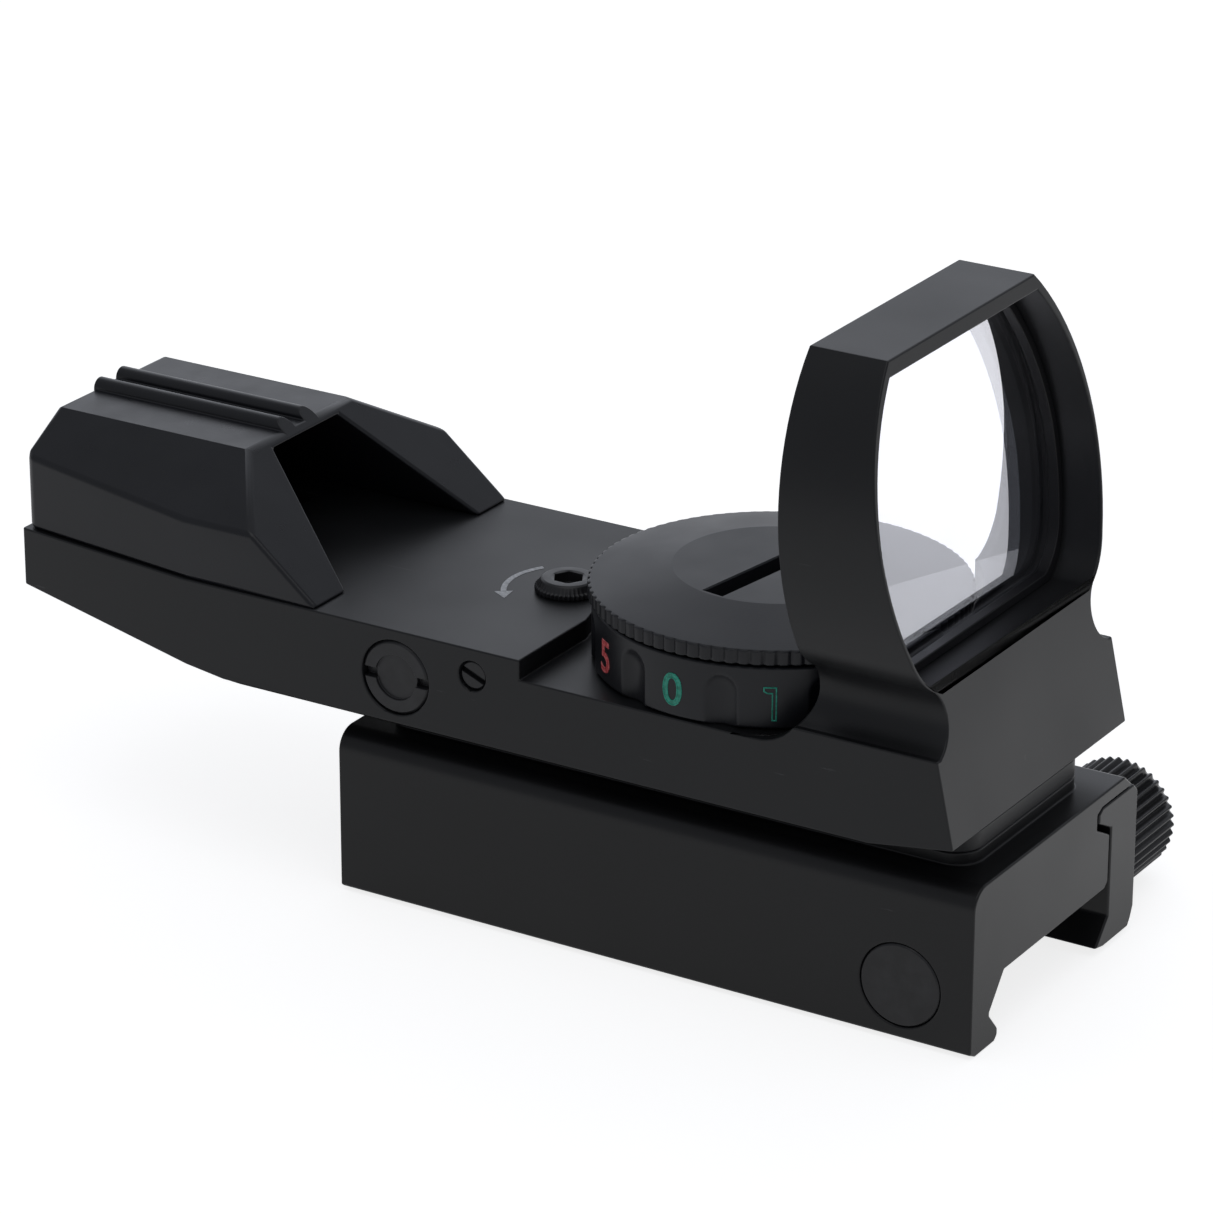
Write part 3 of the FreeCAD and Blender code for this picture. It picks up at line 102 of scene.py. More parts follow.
class Recipe:
    """A node material written in short calls. Texture lengths are in millimetres."""

    def __init__(self, name):
        self.material = bpy.data.materials.new(name)
        self.material.use_nodes = True
        self.tree = self.material.node_tree
        self.tree.nodes.clear()
        self.place = self.add("ShaderNodeTexCoord").outputs["Object"]

    def feed(self, socket, value):
        """Links a socket to another node's output, or sets it to a plain value."""
        if isinstance(value, bpy.types.NodeSocket):
            self.tree.links.new(value, socket)
        else:
            socket.default_value = value

    def add(self, kind, settings=None, **inputs):
        node = self.tree.nodes.new(kind)
        for key, value in (settings or {}).items():
            setattr(node, key, value)
        for key, value in inputs.items():
            self.feed(node.inputs[key.replace("_", " ")], value)
        return node

    def noise(self, size, detail=3, stretch=(1, 1, 1), rough=0.5):
        """Noise whose features are about size millimetres across."""
        scaled = self.add("ShaderNodeMapping", Vector=self.place, Scale=stretch)
        return self.add("ShaderNodeTexNoise", Vector=scaled.outputs[0], Scale=1 / (size * MM),
                        Detail=detail, Roughness=rough).outputs["Fac"]

    def ramp(self, value, low_in, high_in, low_out, high_out):
        """Value mapped from the in range to the out range, and held at its ends."""
        node = self.add("ShaderNodeMapRange", Value=value)
        for index, number in enumerate((low_in, high_in, low_out, high_out), start=1):
            node.inputs[index].default_value = number
        return node.outputs[0]

    def math(self, operation, first, second=0.0):
        node = self.add("ShaderNodeMath", {"operation": operation})
        self.feed(node.inputs[0], first)
        self.feed(node.inputs[1], second)
        return node.outputs[0]

    def vector(self, operation, first, second=(0, 0, 0)):
        """Vector arithmetic: the node, whose output is its Vector or its Value."""
        node = self.add("ShaderNodeVectorMath", {"operation": operation})
        self.feed(node.inputs[0], first)
        self.feed(node.inputs[1], second)
        return node

    def mix(self, amount, first, second):
        """Blend of two colours."""
        node = self.add("ShaderNodeMix", {"data_type": "RGBA"})
        for name, value in (("Factor_Float", amount), ("A_Color", first), ("B_Color", second)):
            self.feed(next(s for s in node.inputs if s.identifier == name), value)
        return next(s for s in node.outputs if s.identifier == "Result_Color")

    def bump(self, height, depth, under=None):
        """Bump of the given depth in millimetres, over another bump."""
        more = {"Normal": under} if under else {}
        return self.add("ShaderNodeBump", Height=height, Strength=1.0, Distance=depth * MM,
                        **more).outputs[0]

    def blend(self, amount, first, second):
        """Mix of two shaders."""
        node = self.add("ShaderNodeMixShader", Fac=amount)
        self.feed(node.inputs[1], first)
        self.feed(node.inputs[2], second)
        return node.outputs[0]

    def surface(self, **inputs):
        shader = self.add("ShaderNodeBsdfPrincipled", **inputs)
        return self.output(shader.outputs[0])

    def output(self, shader):
        self.add("ShaderNodeOutputMaterial", Surface=shader)
        return self.material


def colour(red, green, blue):
    return (red, green, blue, 1.0)


def shade_of(tint, factor):
    """The tint as a colour, with every channel multiplied by the factor."""
    return colour(*(factor * channel for channel in tint))


def scratches(recipe, angle, share):
    """Mask of thin straight scratches that run one way, on a share of the surface."""
    turned = recipe.add("ShaderNodeMapping", Vector=recipe.place,
                        Rotation=(angle, angle * 0.7, angle * 1.3), Scale=(1, 14, 14))
    lines = recipe.add("ShaderNodeTexNoise", Vector=turned.outputs[0], Scale=130, Detail=5,
                       Roughness=0.7).outputs["Fac"]
    thin = recipe.ramp(lines, 0.66, 0.69, 0, 1)
    patch = recipe.ramp(recipe.noise(9), 0.62 - share, 0.68 - share, 0, 1)
    return recipe.math("MULTIPLY", thin, patch)


def anodised(name, tint, roughness, grain, wear=0.05):
    """Black anodised aluminium: bead-blast grain, faint handling marks and small scratches."""
    r = Recipe(name)
    cloud = r.noise(14, 2)
    fine = r.noise(grain, 2)
    dust = r.ramp(r.noise(0.5, 4, rough=0.7), 0.68, 0.8, 0, 0.35)
    marks = scratches(r, 0.5, wear)
    base = r.mix(r.ramp(cloud, 0.3, 0.7, 0, 1), colour(*tint), shade_of(tint, 1.35))
    base = r.mix(r.math("MULTIPLY", marks, 0.35), base, colour(0.09, 0.09, 0.095))
    base = r.mix(r.math("MULTIPLY", dust, 0.12), base, colour(0.12, 0.12, 0.13))
    shine = r.math("ADD", r.ramp(cloud, 0.3, 0.7, roughness - 0.035, roughness + 0.045),
                   r.math("MULTIPLY", fine, 0.05))
    return r.surface(Base_Color=base, Roughness=shine, Specular_IOR_Level=0.34,
                     Normal=r.bump(fine, 0.006))


def turned_metal(name, tint, roughness, centre):
    """Black anodised, with the fine rings a lathe leaves about a vertical axis."""
    r = Recipe(name)
    ring_width = 0.12
    offset = r.vector("SUBTRACT", r.place, centre * MM)
    flat = r.vector("MULTIPLY", offset.outputs[0], (1, 1, 0))
    distance = r.vector("LENGTH", flat.outputs[0]).outputs["Value"]
    rings = r.add("ShaderNodeTexNoise", {"noise_dimensions": "1D"}, W=distance,
                  Scale=1 / (ring_width * MM), Detail=3).outputs["Fac"]
    cloud, fine = r.noise(8, 3), r.noise(0.11, 2)
    base = r.mix(r.ramp(cloud, 0.3, 0.7, 0, 1), colour(*tint), shade_of(tint, 1.3))
    shine = r.ramp(cloud, 0.3, 0.7, roughness - 0.04, roughness + 0.05)
    normal = r.bump(rings, 0.004, r.bump(fine, 0.004))
    return r.surface(Base_Color=base, Roughness=shine, Specular_IOR_Level=0.36, Normal=normal)


def moulded(name, tint, roughness, grain, depth, specular=0.4):
    """Moulded plastic with a fine spark-eroded texture and a slow waviness."""
    r = Recipe(name)
    texture = r.noise(grain, 3)
    sag = r.noise(6, 1)
    base = r.mix(r.ramp(r.noise(10), 0.3, 0.7, 0, 1), colour(*tint), shade_of(tint, 1.25))
    shine = r.ramp(r.noise(3, 3), 0.3, 0.7, roughness - 0.03, roughness + 0.05)
    normal = r.bump(texture, depth, r.bump(sag, 0.02))
    return r.surface(Base_Color=base, Roughness=shine, Specular_IOR_Level=specular, Normal=normal)


def metal(name, tint, roughness, grain=0.2):
    """Bare metal with a drawn grain and a little tarnish."""
    r = Recipe(name)
    grainy = r.noise(grain, 3, stretch=(1, 1, 6))
    tarnish = r.ramp(r.noise(2.5, 4), 0.45, 0.75, 0, 0.5)
    base = r.mix(tarnish, colour(*tint), shade_of(tint, 0.55))
    shine = r.math("ADD", r.ramp(grainy, 0.3, 0.7, roughness - 0.06, roughness + 0.08),
                   r.math("MULTIPLY", tarnish, 0.2))
    return r.surface(Base_Color=base, Metallic=1.0, Roughness=shine,
                     Normal=r.bump(grainy, 0.004))


def black_oxide(name):
    """Blackened steel, a little uneven."""
    r = Recipe(name)
    fine, cloud = r.noise(0.12, 3), r.noise(1.5, 3)
    base = r.mix(r.ramp(cloud, 0.35, 0.7, 0, 1), colour(0.011, 0.011, 0.012),
                 colour(0.02, 0.02, 0.022))
    return r.surface(Base_Color=base, Roughness=r.ramp(cloud, 0.3, 0.7, 0.28, 0.4),
                     Specular_IOR_Level=0.4, Normal=r.bump(fine, 0.005))


def paint(name, tint, pale):
    """Paint in an engraved line: uneven, a little paler where it pools against the walls."""
    r = Recipe(name)
    patches = r.ramp(r.noise(0.35, 4, rough=0.65), 0.35, 0.65, 0, 1)
    base = r.mix(patches, colour(*tint), colour(*pale))
    return r.surface(Base_Color=base, Roughness=0.45, Normal=r.bump(r.noise(0.15), 0.02))


def rubber(name):
    """Dull black rubber."""
    r = Recipe(name)
    base = r.mix(r.noise(1.2, 4), colour(0.008, 0.008, 0.008), colour(0.02, 0.02, 0.02))
    return r.surface(Base_Color=base, Roughness=0.62, Normal=r.bump(r.noise(0.2), 0.01))


def board(name):
    """Green solder mask over copper tracks."""
    r = Recipe(name)
    squares = r.add("ShaderNodeTexBrick", Vector=r.place, Scale=420,
                    Color1=colour(0.012, 0.1, 0.04), Color2=colour(0.02, 0.14, 0.055),
                    Mortar=colour(0.05, 0.26, 0.1))
    speckle = r.ramp(r.noise(0.3), 0.3, 0.7, 0.25, 0.4)
    return r.surface(Base_Color=squares.outputs["Color"], Roughness=speckle,
                     Normal=r.bump(squares.outputs["Fac"], 0.03))


def coated_glass(name, lean):
    """Reflector glass: part mirror, part window, violet at a slant. Its ground rim is blacked.

    It bends what the camera sees through it. Light and reflections pass straight through.
    """
    r = Recipe(name)
    flat_enough = 0.9       # cosine between a face's normal and the lens axis
    slant = r.add("ShaderNodeLayerWeight", Blend=0.35).outputs["Facing"]
    film = r.mix(r.ramp(slant, 0.15, 0.75, 0, 1), colour(0.95, 0.97, 1.0),
                 colour(0.92, 0.9, 1.0))
    smear = r.noise(7, 4)
    tint = r.mix(smear, colour(0.9, 0.9, 0.93), colour(0.95, 0.95, 0.97))
    straight = r.add("ShaderNodeBsdfTransparent", Color=tint)
    bent = r.add("ShaderNodeBsdfRefraction", Color=tint, Roughness=0.0, IOR=1.5)
    path = r.add("ShaderNodeLightPath")
    seen = r.math("MAXIMUM", path.outputs["Is Camera Ray"], path.outputs["Is Transmission Ray"])
    clear = r.blend(seen, straight.outputs[0], bent.outputs[0])
    mirror = r.add("ShaderNodeBsdfGlossy", Color=film, Roughness=0.0)
    share = r.ramp(slant, 0.0, 1.0, 0.16, 0.44)
    glass = r.blend(share, clear, mirror.outputs[0])
    blacked = r.add("ShaderNodeBsdfPrincipled", Base_Color=colour(0.004, 0.004, 0.004),
                    Roughness=0.6).outputs[0]
    facing = r.add("ShaderNodeNewGeometry").outputs["True Normal"]
    along = r.vector("DOT_PRODUCT", facing, Vector((1, 0, lean)).normalized()).outputs["Value"]
    on_face = r.math("GREATER_THAN", r.math("ABSOLUTE", along), flat_enough)
    return r.output(r.blend(on_face, blacked, glass))


def resin(name):
    """Clear red resin of the light source."""
    r = Recipe(name)
    base = r.mix(r.noise(1.5), colour(0.55, 0.03, 0.02), colour(0.75, 0.08, 0.05))
    return r.surface(Base_Color=base, Roughness=r.ramp(r.noise(0.8), 0.3, 0.7, 0.05, 0.16),
                     Transmission_Weight=0.55, IOR=1.5)


def studio_floor(name):
    """Pale sheet on a light table: evenly white to the eye.

    The light it gives the object is strongest on the strip just behind it.
    """
    r = Recipe(name)
    away = (0.6, 0.79, 0)   # direction that leads behind the object
    path = r.add("ShaderNodeLightPath")
    base = r.mix(r.noise(1.5, 4), colour(0.5, 0.5, 0.503), colour(0.52, 0.52, 0.523))
    behind = r.vector("DOT_PRODUCT", r.place, away).outputs["Value"]
    glow = r.ramp(behind, 0.0, 0.12, 0.38, 1.1)
    glow = r.math("MULTIPLY", glow, r.ramp(behind, 0.1, 0.2, 1, 0.45))
    for seen, level in (("Is Camera Ray", 0.8), ("Is Singular Ray", 1.05)):
        change = r.math("MULTIPLY", path.outputs[seen], r.math("SUBTRACT", level, glow))
        glow = r.math("ADD", glow, change)
    return r.surface(Base_Color=base, Roughness=0.85, Specular_IOR_Level=0.1,
                     Emission_Color=colour(1, 1, 1), Emission_Strength=glow,
                     Normal=r.bump(r.noise(0.6), 0.01))


DIAL = pivot("dial_turn")
STOPS = 11              # off, five green and five red
OFF_STOP = math.radians(-93.0)      # where the off stop's figure stands round the dial
DRUM_WALL = radius_of("brightness_drum")
LEAN = 0.217            # how far the lens leans back per unit of height
LOOKS = {
    "anodised_body": anodised("anodised_body", (0.0075, 0.0078, 0.0086), 0.36, 0.1),
    "anodised_clamp": anodised("anodised_clamp", (0.0062, 0.0063, 0.0068), 0.3, 0.12),
    "anodised_dial": turned_metal("anodised_dial", (0.008, 0.0085, 0.0105), 0.38, DIAL),
    "hood_plastic": moulded("hood_plastic", (0.0065, 0.007, 0.009), 0.3, 0.16, 0.004),
    "bezel_plastic": moulded("bezel_plastic", (0.006, 0.006, 0.007), 0.42, 0.2, 0.006, 0.3),
    "black_steel": black_oxide("black_steel"),
    "bright_steel": metal("bright_steel", (0.62, 0.62, 0.6), 0.28),
    "brass": metal("brass", (0.72, 0.5, 0.2), 0.3),
    "lens": coated_glass("lens", LEAN),
    "green_paint": paint("green_paint", (0.0, 0.15, 0.1), (0.02, 0.33, 0.23)),
    "red_paint": paint("red_paint", (0.38, 0.02, 0.03), (0.62, 0.14, 0.14)),
    "mark_paint": paint("mark_paint", (0.22, 0.23, 0.24), (0.5, 0.51, 0.53)),
    "circuit_board": board("circuit_board"),
    "led_resin": resin("led_resin"),
    "wire_jacket": moulded("wire_jacket", (0.35, 0.02, 0.015), 0.4, 0.3, 0.01),
    "cell_steel": metal("cell_steel", (0.7, 0.7, 0.68), 0.2, 0.3),
    "seal_rubber": rubber("seal_rubber"),
}


# ---- CAD pieces: materials and softened edges ---------------------------------------------------

BEVEL_ANGLE = 32        # edges sharper than this are rounded


def geometry_group(name):
    """Empty geometry group that takes a mesh and gives one back."""
    tree = bpy.data.node_groups.new(name, "GeometryNodeTree")
    for way in ("INPUT", "OUTPUT"):
        tree.interface.new_socket("Geometry", in_out=way, socket_type="NodeSocketGeometry")
    return tree


def angle_shading(limit):
    """Geometry group: joins the corners, then keeps only edges sharper than limit as creases."""
    tree = geometry_group("shade_by_angle")
    add, link = tree.nodes.new, tree.links.new
    start, end = add("NodeGroupInput"), add("NodeGroupOutput")
    merge = add("GeometryNodeMergeByDistance")
    merge.inputs["Distance"].default_value = 0.002 * MM
    faces = add("GeometryNodeSetShadeSmooth")
    faces.domain = "FACE"
    edges = add("GeometryNodeSetShadeSmooth")
    edges.domain = "EDGE"
    edges.inputs["Shade Smooth"].default_value = False
    angle = add("GeometryNodeInputMeshEdgeAngle")
    sharper = comparison(tree, "GREATER_THAN", limit)
    link(start.outputs[0], merge.inputs["Geometry"])
    link(merge.outputs[0], faces.inputs["Geometry"])
    link(faces.outputs[0], edges.inputs["Geometry"])
    link(angle.outputs["Unsigned Angle"], sharper.inputs["A"])
    link(sharper.outputs[0], edges.inputs["Selection"])
    link(edges.outputs[0], end.inputs[0])
    return tree


def fine_edges(spare_low, spare_high, share):
    """Geometry group: full bevel weight on sharp edges, and only a share inside the given box."""
    tree = geometry_group("fine_edges")
    add, link = tree.nodes.new, tree.links.new
    start, end = add("NodeGroupInput"), add("NodeGroupOutput")
    sharp = comparison(tree, "GREATER_THAN", math.radians(BEVEL_ANGLE))
    link(add("GeometryNodeInputMeshEdgeAngle").outputs["Unsigned Angle"], sharp.inputs["A"])
    parts = add("ShaderNodeSeparateXYZ")
    link(add("GeometryNodeInputPosition").outputs[0], parts.inputs[0])
    inside = None
    for axis in range(3):
        for operation, limit in (("GREATER_THAN", spare_low), ("LESS_THAN", spare_high)):
            within = comparison(tree, operation, limit[axis] * MM)
            link(parts.outputs[axis], within.inputs["A"])
            inside = within.outputs[0] if inside is None else product(tree, inside, within)
    less = add("ShaderNodeMath")
    less.operation = "MULTIPLY_ADD"
    less.inputs[1].default_value = share - 1
    less.inputs[2].default_value = 1
    link(inside, less.inputs[0])
    store = add("GeometryNodeStoreNamedAttribute")
    store.data_type = "FLOAT"
    store.domain = "EDGE"
    store.inputs["Name"].default_value = "bevel_weight_edge"
    link(start.outputs[0], store.inputs["Geometry"])
    link(product(tree, sharp.outputs[0], less), store.inputs["Value"])
    link(store.outputs[0], end.inputs[0])
    return tree


def comparison(tree, operation, limit):
    """Node that compares its input A with the limit."""
    node = tree.nodes.new("FunctionNodeCompare")
    node.operation = operation
    node.inputs["B"].default_value = limit
    return node


def product(tree, first, second):
    """Product of a socket and a node's first output."""
    node = tree.nodes.new("ShaderNodeMath")
    node.operation = "MULTIPLY"
    tree.links.new(first, node.inputs[0])
    tree.links.new(second.outputs[0], node.inputs[1])
    return node.outputs[0]


CREASE = angle_shading(math.radians(28))


def drop_cad_normals(mesh):
    """Removes the stored normals, so that the modifiers' own shading shows."""
    stored = mesh.attributes.get("custom_normal")
    if stored:
        mesh.attributes.remove(stored)


def soften(obj, width, weights=None):
    """Rounds the sharp edges by width millimetres, less where the weights group says so."""
    drop_cad_normals(obj.data)
    joined = obj.modifiers.new("joined", "NODES")
    joined.node_group = CREASE
    flat = obj.modifiers.new("flat", "DECIMATE")        # merges faces that lie in one plane
    flat.decimate_type = "DISSOLVE"
    flat.angle_limit = math.radians(0.6)
    if weights:
        obj.modifiers.new("weights", "NODES").node_group = weights
    bevel = obj.modifiers.new("edges", "BEVEL")
    bevel.width = width * MM
    bevel.segments = 3
    bevel.limit_method = "WEIGHT" if weights else "ANGLE"
    bevel.angle_limit = math.radians(BEVEL_ANGLE)
    bevel.use_clamp_overlap = False
    bevel.loop_slide = True
    bevel.harden_normals = True
    return obj


def dress(obj, slot):
    """Gives the object one of the LOOKS."""
    obj.data.materials.clear()
    obj.data.materials.append(LOOKS[slot])
    return obj


EDGE_WIDTH = {
    "sight_body": 0.16, "mount_base": 0.2, "clamp_jaw": 0.2, "emitter_hood": 0.45,
    "bottom_cover": 0.12, "cross_bolt": 0.05, "windage_screw": 0.07, "lock_screw": 0.05,
    "lens_glass": 0.04, "lens_bezel": 0.1, "emitter_arm": 0.12, "gimbal_yoke": 0.12,
    "hood_screws": 0.06, "cover_screws": 0.05, "mount_screws": 0.07, "board_screws": 0.05,
    "battery_cell": 0.1, "dial_board": 0.04, "led_board": 0.04, "dial_wiper": 0.03,
    "cap_contact": 0.02, "dial_clip": 0.04, "elevation_clip": 0.03, "windage_clip": 0.03,
}


def dress_cad():
    """Materials for every CAD piece, and rounded edges where they show; the hood's ribs get less."""
    rib_deep, rib_half, past, share = 1.3, 3, 1, 0.25
    hood_low, hood_high = low("emitter_hood"), high("emitter_hood")
    ribs = fine_edges((hood_low.x - past, -rib_half, hood_high.z - rib_deep),
                      (hood_high.x, rib_half, hood_high.z + past), share)
    for name, node in NODES.items():
        dress(node, SLOTS[name])
        if name in EDGE_WIDTH:
            soften(node, EDGE_WIDTH[name], ribs if name == "emitter_hood" else None)


# ---- turned pieces with knurls and flutes ------------------------------------------------------

def rounded(profile, reach, steps=3):
    """The (radius, height, mark) polyline with each inner corner cut back by reach and curved."""
    out = [profile[0]]
    for before, corner, after in zip(profile, profile[1:], profile[2:]):
        before, corner, after = Vector(before), Vector(corner), Vector(after)
        back = min(reach, 0.45 * (before - corner).length)
        ahead = min(reach, 0.45 * (after - corner).length)
        start = corner + (before - corner).normalized() * back
        end = corner + (after - corner).normalized() * ahead
        for step in range(steps + 1):
            t = step / steps
            out.append(tuple(start * (1 - t) ** 2 + corner * 2 * t * (1 - t) + end * t * t))
    out.append(profile[-1])
    return out


def turned(name, profile, steps, centre, body, slot, stands_for, carve=None, along_y=False):
    """Solid of revolution whose radius can be carved: carve(angle, radius, height, mark)."""
    mesh = bmesh.new()
    rows = []
    for radius, height, mark in profile:
        if radius < 1e-6:
            rows.append([mesh.verts.new((0, 0, height))])
            continue
        row = []
        for step in range(steps):
            angle = TURN * step / steps
            reach = carve(angle, radius, height, mark) if carve else radius
            row.append(mesh.verts.new((reach * math.cos(angle), reach * math.sin(angle), height)))
        rows.append(row)
    for lower, upper in zip(rows, rows[1:]):
        for step in range(steps):
            after = (step + 1) % steps
            if len(lower) == 1:
                mesh.faces.new((lower[0], upper[after], upper[step]))
            elif len(upper) == 1:
                mesh.faces.new((lower[step], lower[after], upper[0]))
            else:
                mesh.faces.new((lower[step], lower[after], upper[after], upper[step]))
    return finished(name, mesh, centre, body, slot, stands_for, along_y)


def finished(name, mesh, centre, body, slot, stands_for, along_y=False):
    """Turns a bmesh in millimetres into a piece that rides on a body and stands for nodes."""
    bmesh.ops.recalc_face_normals(mesh, faces=mesh.faces)
    if along_y:
        mesh.transform(Matrix.Rotation(-math.pi / 2, 4, "X"))
    mesh.transform(Matrix.Scale(MM, 4) @ Matrix.Translation(centre))
    data = bpy.data.meshes.new(name)
    mesh.to_mesh(data)
    mesh.free()
    obj = bpy.data.objects.new(name, data)
    bpy.context.scene.collection.objects.link(obj)
    dress(obj, slot)
    shade = obj.modifiers.new("shade", "NODES")
    shade.node_group = CREASE
    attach(obj, body)
    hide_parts(*stands_for)
    return obj


def tooth(angle, count, sharpness=1.0):
    """0 on a ridge and 1 in the groove between two ridges."""
    return (0.5 - 0.5 * math.cos(angle * count)) ** sharpness


def hexagon(angle):
    """Radius of a hexagon whose corners are at 1."""
    return math.cos(math.pi / 6) / math.cos((angle % (math.pi / 3)) - math.pi / 6)


def make_cap():
    """Battery cap: conical top, flat centre disc with the coin slot, straight-knurled rim."""
    teeth, samples, groove = 88, 10, 0.2
    base, top = low("battery_cap").z, high("battery_cap").z
    rim = radius_of("battery_cap")
    rim_low, rim_top = base + 2.1, top - 1.3
    ceiling, skirt_in, skirt = base + 1.4, rim - 4.5, rim - 3.3
    seal_in, seal_out, seal_top = rim - 2.6, rim - 1.6, rim_low + 0.5
    disc, slot_half = rim - 7.1, rim - 7.5
    profile = rounded([
        (0, ceiling, 0), (skirt_in, ceiling, 0), (skirt_in, base, 0), (skirt, base, 0),
        (skirt, rim_low, 0), (seal_in, rim_low, 0), (seal_in, seal_top, 0),
        (seal_out, seal_top, 0), (seal_out, rim_low, 0), (rim - 0.75, rim_low, 0),
        (rim - 0.1, rim_low, 1), (rim, rim_low + 0.1, 1), (rim, rim_top - 0.2, 1),
        (rim - 0.02, rim_top - 0.08, 1), (rim - 0.26, rim_top, 0), (disc, top, 0), (0, top, 0),
    ], 0.07)

    def carve(angle, radius, height, mark):
        return radius - groove * mark * tooth(angle, teeth, 3)

    cap = turned("battery_cap_knurled", profile, teeth * samples, (DIAL.x, 0, 0), "cap",
                 "anodised_dial", ["battery_cap"], carve)
    cut_coin_slot(cap, slot_half, top)
    return cap


def cut_coin_slot(cap, half, top):
    """Cuts the slot, with a small flare at its mouth, at the angle it has in the CAD."""
    width, flare, depth, aim = 1.95, 0.12, 1.5, math.radians(81.4)
    mesh = bmesh.new()
    rows = []
    for height, grow in ((-depth, 0), (-flare, 0), (flare, 2 * flare)):
        x, y = half + grow, width / 2 + grow
        rows.append([mesh.verts.new((sx * x, sy * y, height))
                     for sx, sy in ((-1, -1), (1, -1), (1, 1), (-1, 1))])
    mesh.faces.new(reversed(rows[0]))
    mesh.faces.new(rows[-1])
    for lower, upper in zip(rows, rows[1:]):
        for side in range(4):
            after = (side + 1) % 4
            mesh.faces.new((lower[side], lower[after], upper[after], upper[side]))
    mesh.transform(Matrix.Scale(MM, 4) @ Matrix.Translation((DIAL.x, 0, top))
                   @ Matrix.Rotation(aim, 4, "Z"))
    data = bpy.data.meshes.new("slot_cutter")
    mesh.to_mesh(data)
    mesh.free()
    cutter = bpy.data.objects.new("slot_cutter", data)
    bpy.context.scene.collection.objects.link(cutter)
    boolean = cap.modifiers.new("slot", "BOOLEAN")
    boolean.object = cutter
    boolean.solver = "EXACT"
    cap.modifiers.move(1, 0)
    freeze(cap, cutter)


def freeze(obj, spare=None):
    """Bakes obj's modifiers into its mesh and drops the spare helper."""
    graph = bpy.context.evaluated_depsgraph_get()
    baked = bpy.data.meshes.new_from_object(obj.evaluated_get(graph))
    obj.modifiers.clear()
    obj.data = baked
    if spare:
        bpy.data.objects.remove(spare)


def make_drum():
    """Dial wall with eleven ball-ended flutes, the cell pocket and the hub."""
    pitch = TURN / STOPS
    first = OFF_STOP + pitch / 2
    base, top, wall = low("brightness_drum").z, high("brightness_drum").z, DRUM_WALL
    under = top - 5.5               # underside of the drum round its hub
    bore, hub = 2.4, 4
    pocket, pocket_floor = 10.3, top - 4.2
    mouth, ledge = 12.55, top - 1.9
    ball, ball_z, out = 2.1, top - 2.4, wall + 1.45
    blend, row_gap = 0.12, 0.2
    side = [(wall, under + 0.35 + row_gap * step, 1) for step in range(25)]
    side = [row for row in side if row[1] < top - 0.3]
    outer = rounded([(bore, base, 0), (hub, base, 0), (hub, under, 0), (wall - 0.25, under, 1),
                     (wall, under + 0.2, 1), side[0]], 0.1)
    inner = rounded([side[-1], (wall, top - 0.15, 1), (wall - 0.15, top, 1), (mouth, top, 0),
                     (mouth, ledge, 0), (pocket, ledge, 0), (pocket, pocket_floor, 0),
                     (bore, pocket_floor, 0), (bore, base, 0)], 0.06)

    def carve(angle, radius, height, mark):
        """Round groove about a vertical line outside the wall, with its upper end a ball."""
        if mark < 0.5:
            return radius
        away = (angle - first + pitch / 2) % pitch - pitch / 2
        reach = ball ** 2 - max(0.0, height - ball_z) ** 2 - (out * math.sin(away)) ** 2
        if reach <= 0:
            return radius
        groove = out * math.cos(away) - math.sqrt(reach)
        sharp = max(blend - abs(radius - groove), 0) / blend
        return min(radius, groove) - sharp ** 2 * blend / 4

    return turned("brightness_drum_fluted", outer + side[1:-1] + inner, 80 * STOPS,
                  (DIAL.x, 0, 0), "dial", "anodised_dial", ["brightness_drum"], carve)


def make_elevation_screw():
    """Domed adjuster head: fine knurl round its foot, hex socket in the top."""
    teeth, samples, groove = 44, 8, 0.16
    base, top = low("elevation_screw").z, high("elevation_screw").z
    rim = radius_of("elevation_screw")
    stem, socket, socket_floor = 1.8, 1.4, top - 1.0
    deck = top - 1.23
    profile = rounded([
        (0, base, 0), (stem, base, 0), (stem, deck + 0.05, 0), (rim - 0.1, deck + 0.05, 1),
        (rim, deck + 0.12, 1), (rim, deck + 0.5, 1), (rim - 0.2, deck + 0.62, 0.4),
        (rim - 0.55, top - 0.12, 0), (rim - 0.75, top, 0), (socket + 0.12, top, 0),
        (socket, top - 0.08, -1), (socket, socket_floor, -1), (0.5, socket_floor - 0.25, -0.4),
        (0, socket_floor - 0.3, 0),
    ], 0.05)

    def carve(angle, radius, height, mark):
        """Knurl where the mark is above 0, hexagon where it is below."""
        if mark < 0:
            return radius * (1 + mark - mark * hexagon(angle))
        return radius - groove * mark * tooth(angle, teeth)

    centre = pivot("elevation_turn")
    return turned("elevation_screw_knurled", profile, teeth * samples, (centre.x, 0, 0),
                  "elevation_knob", "black_steel", ["elevation_screw"], carve)


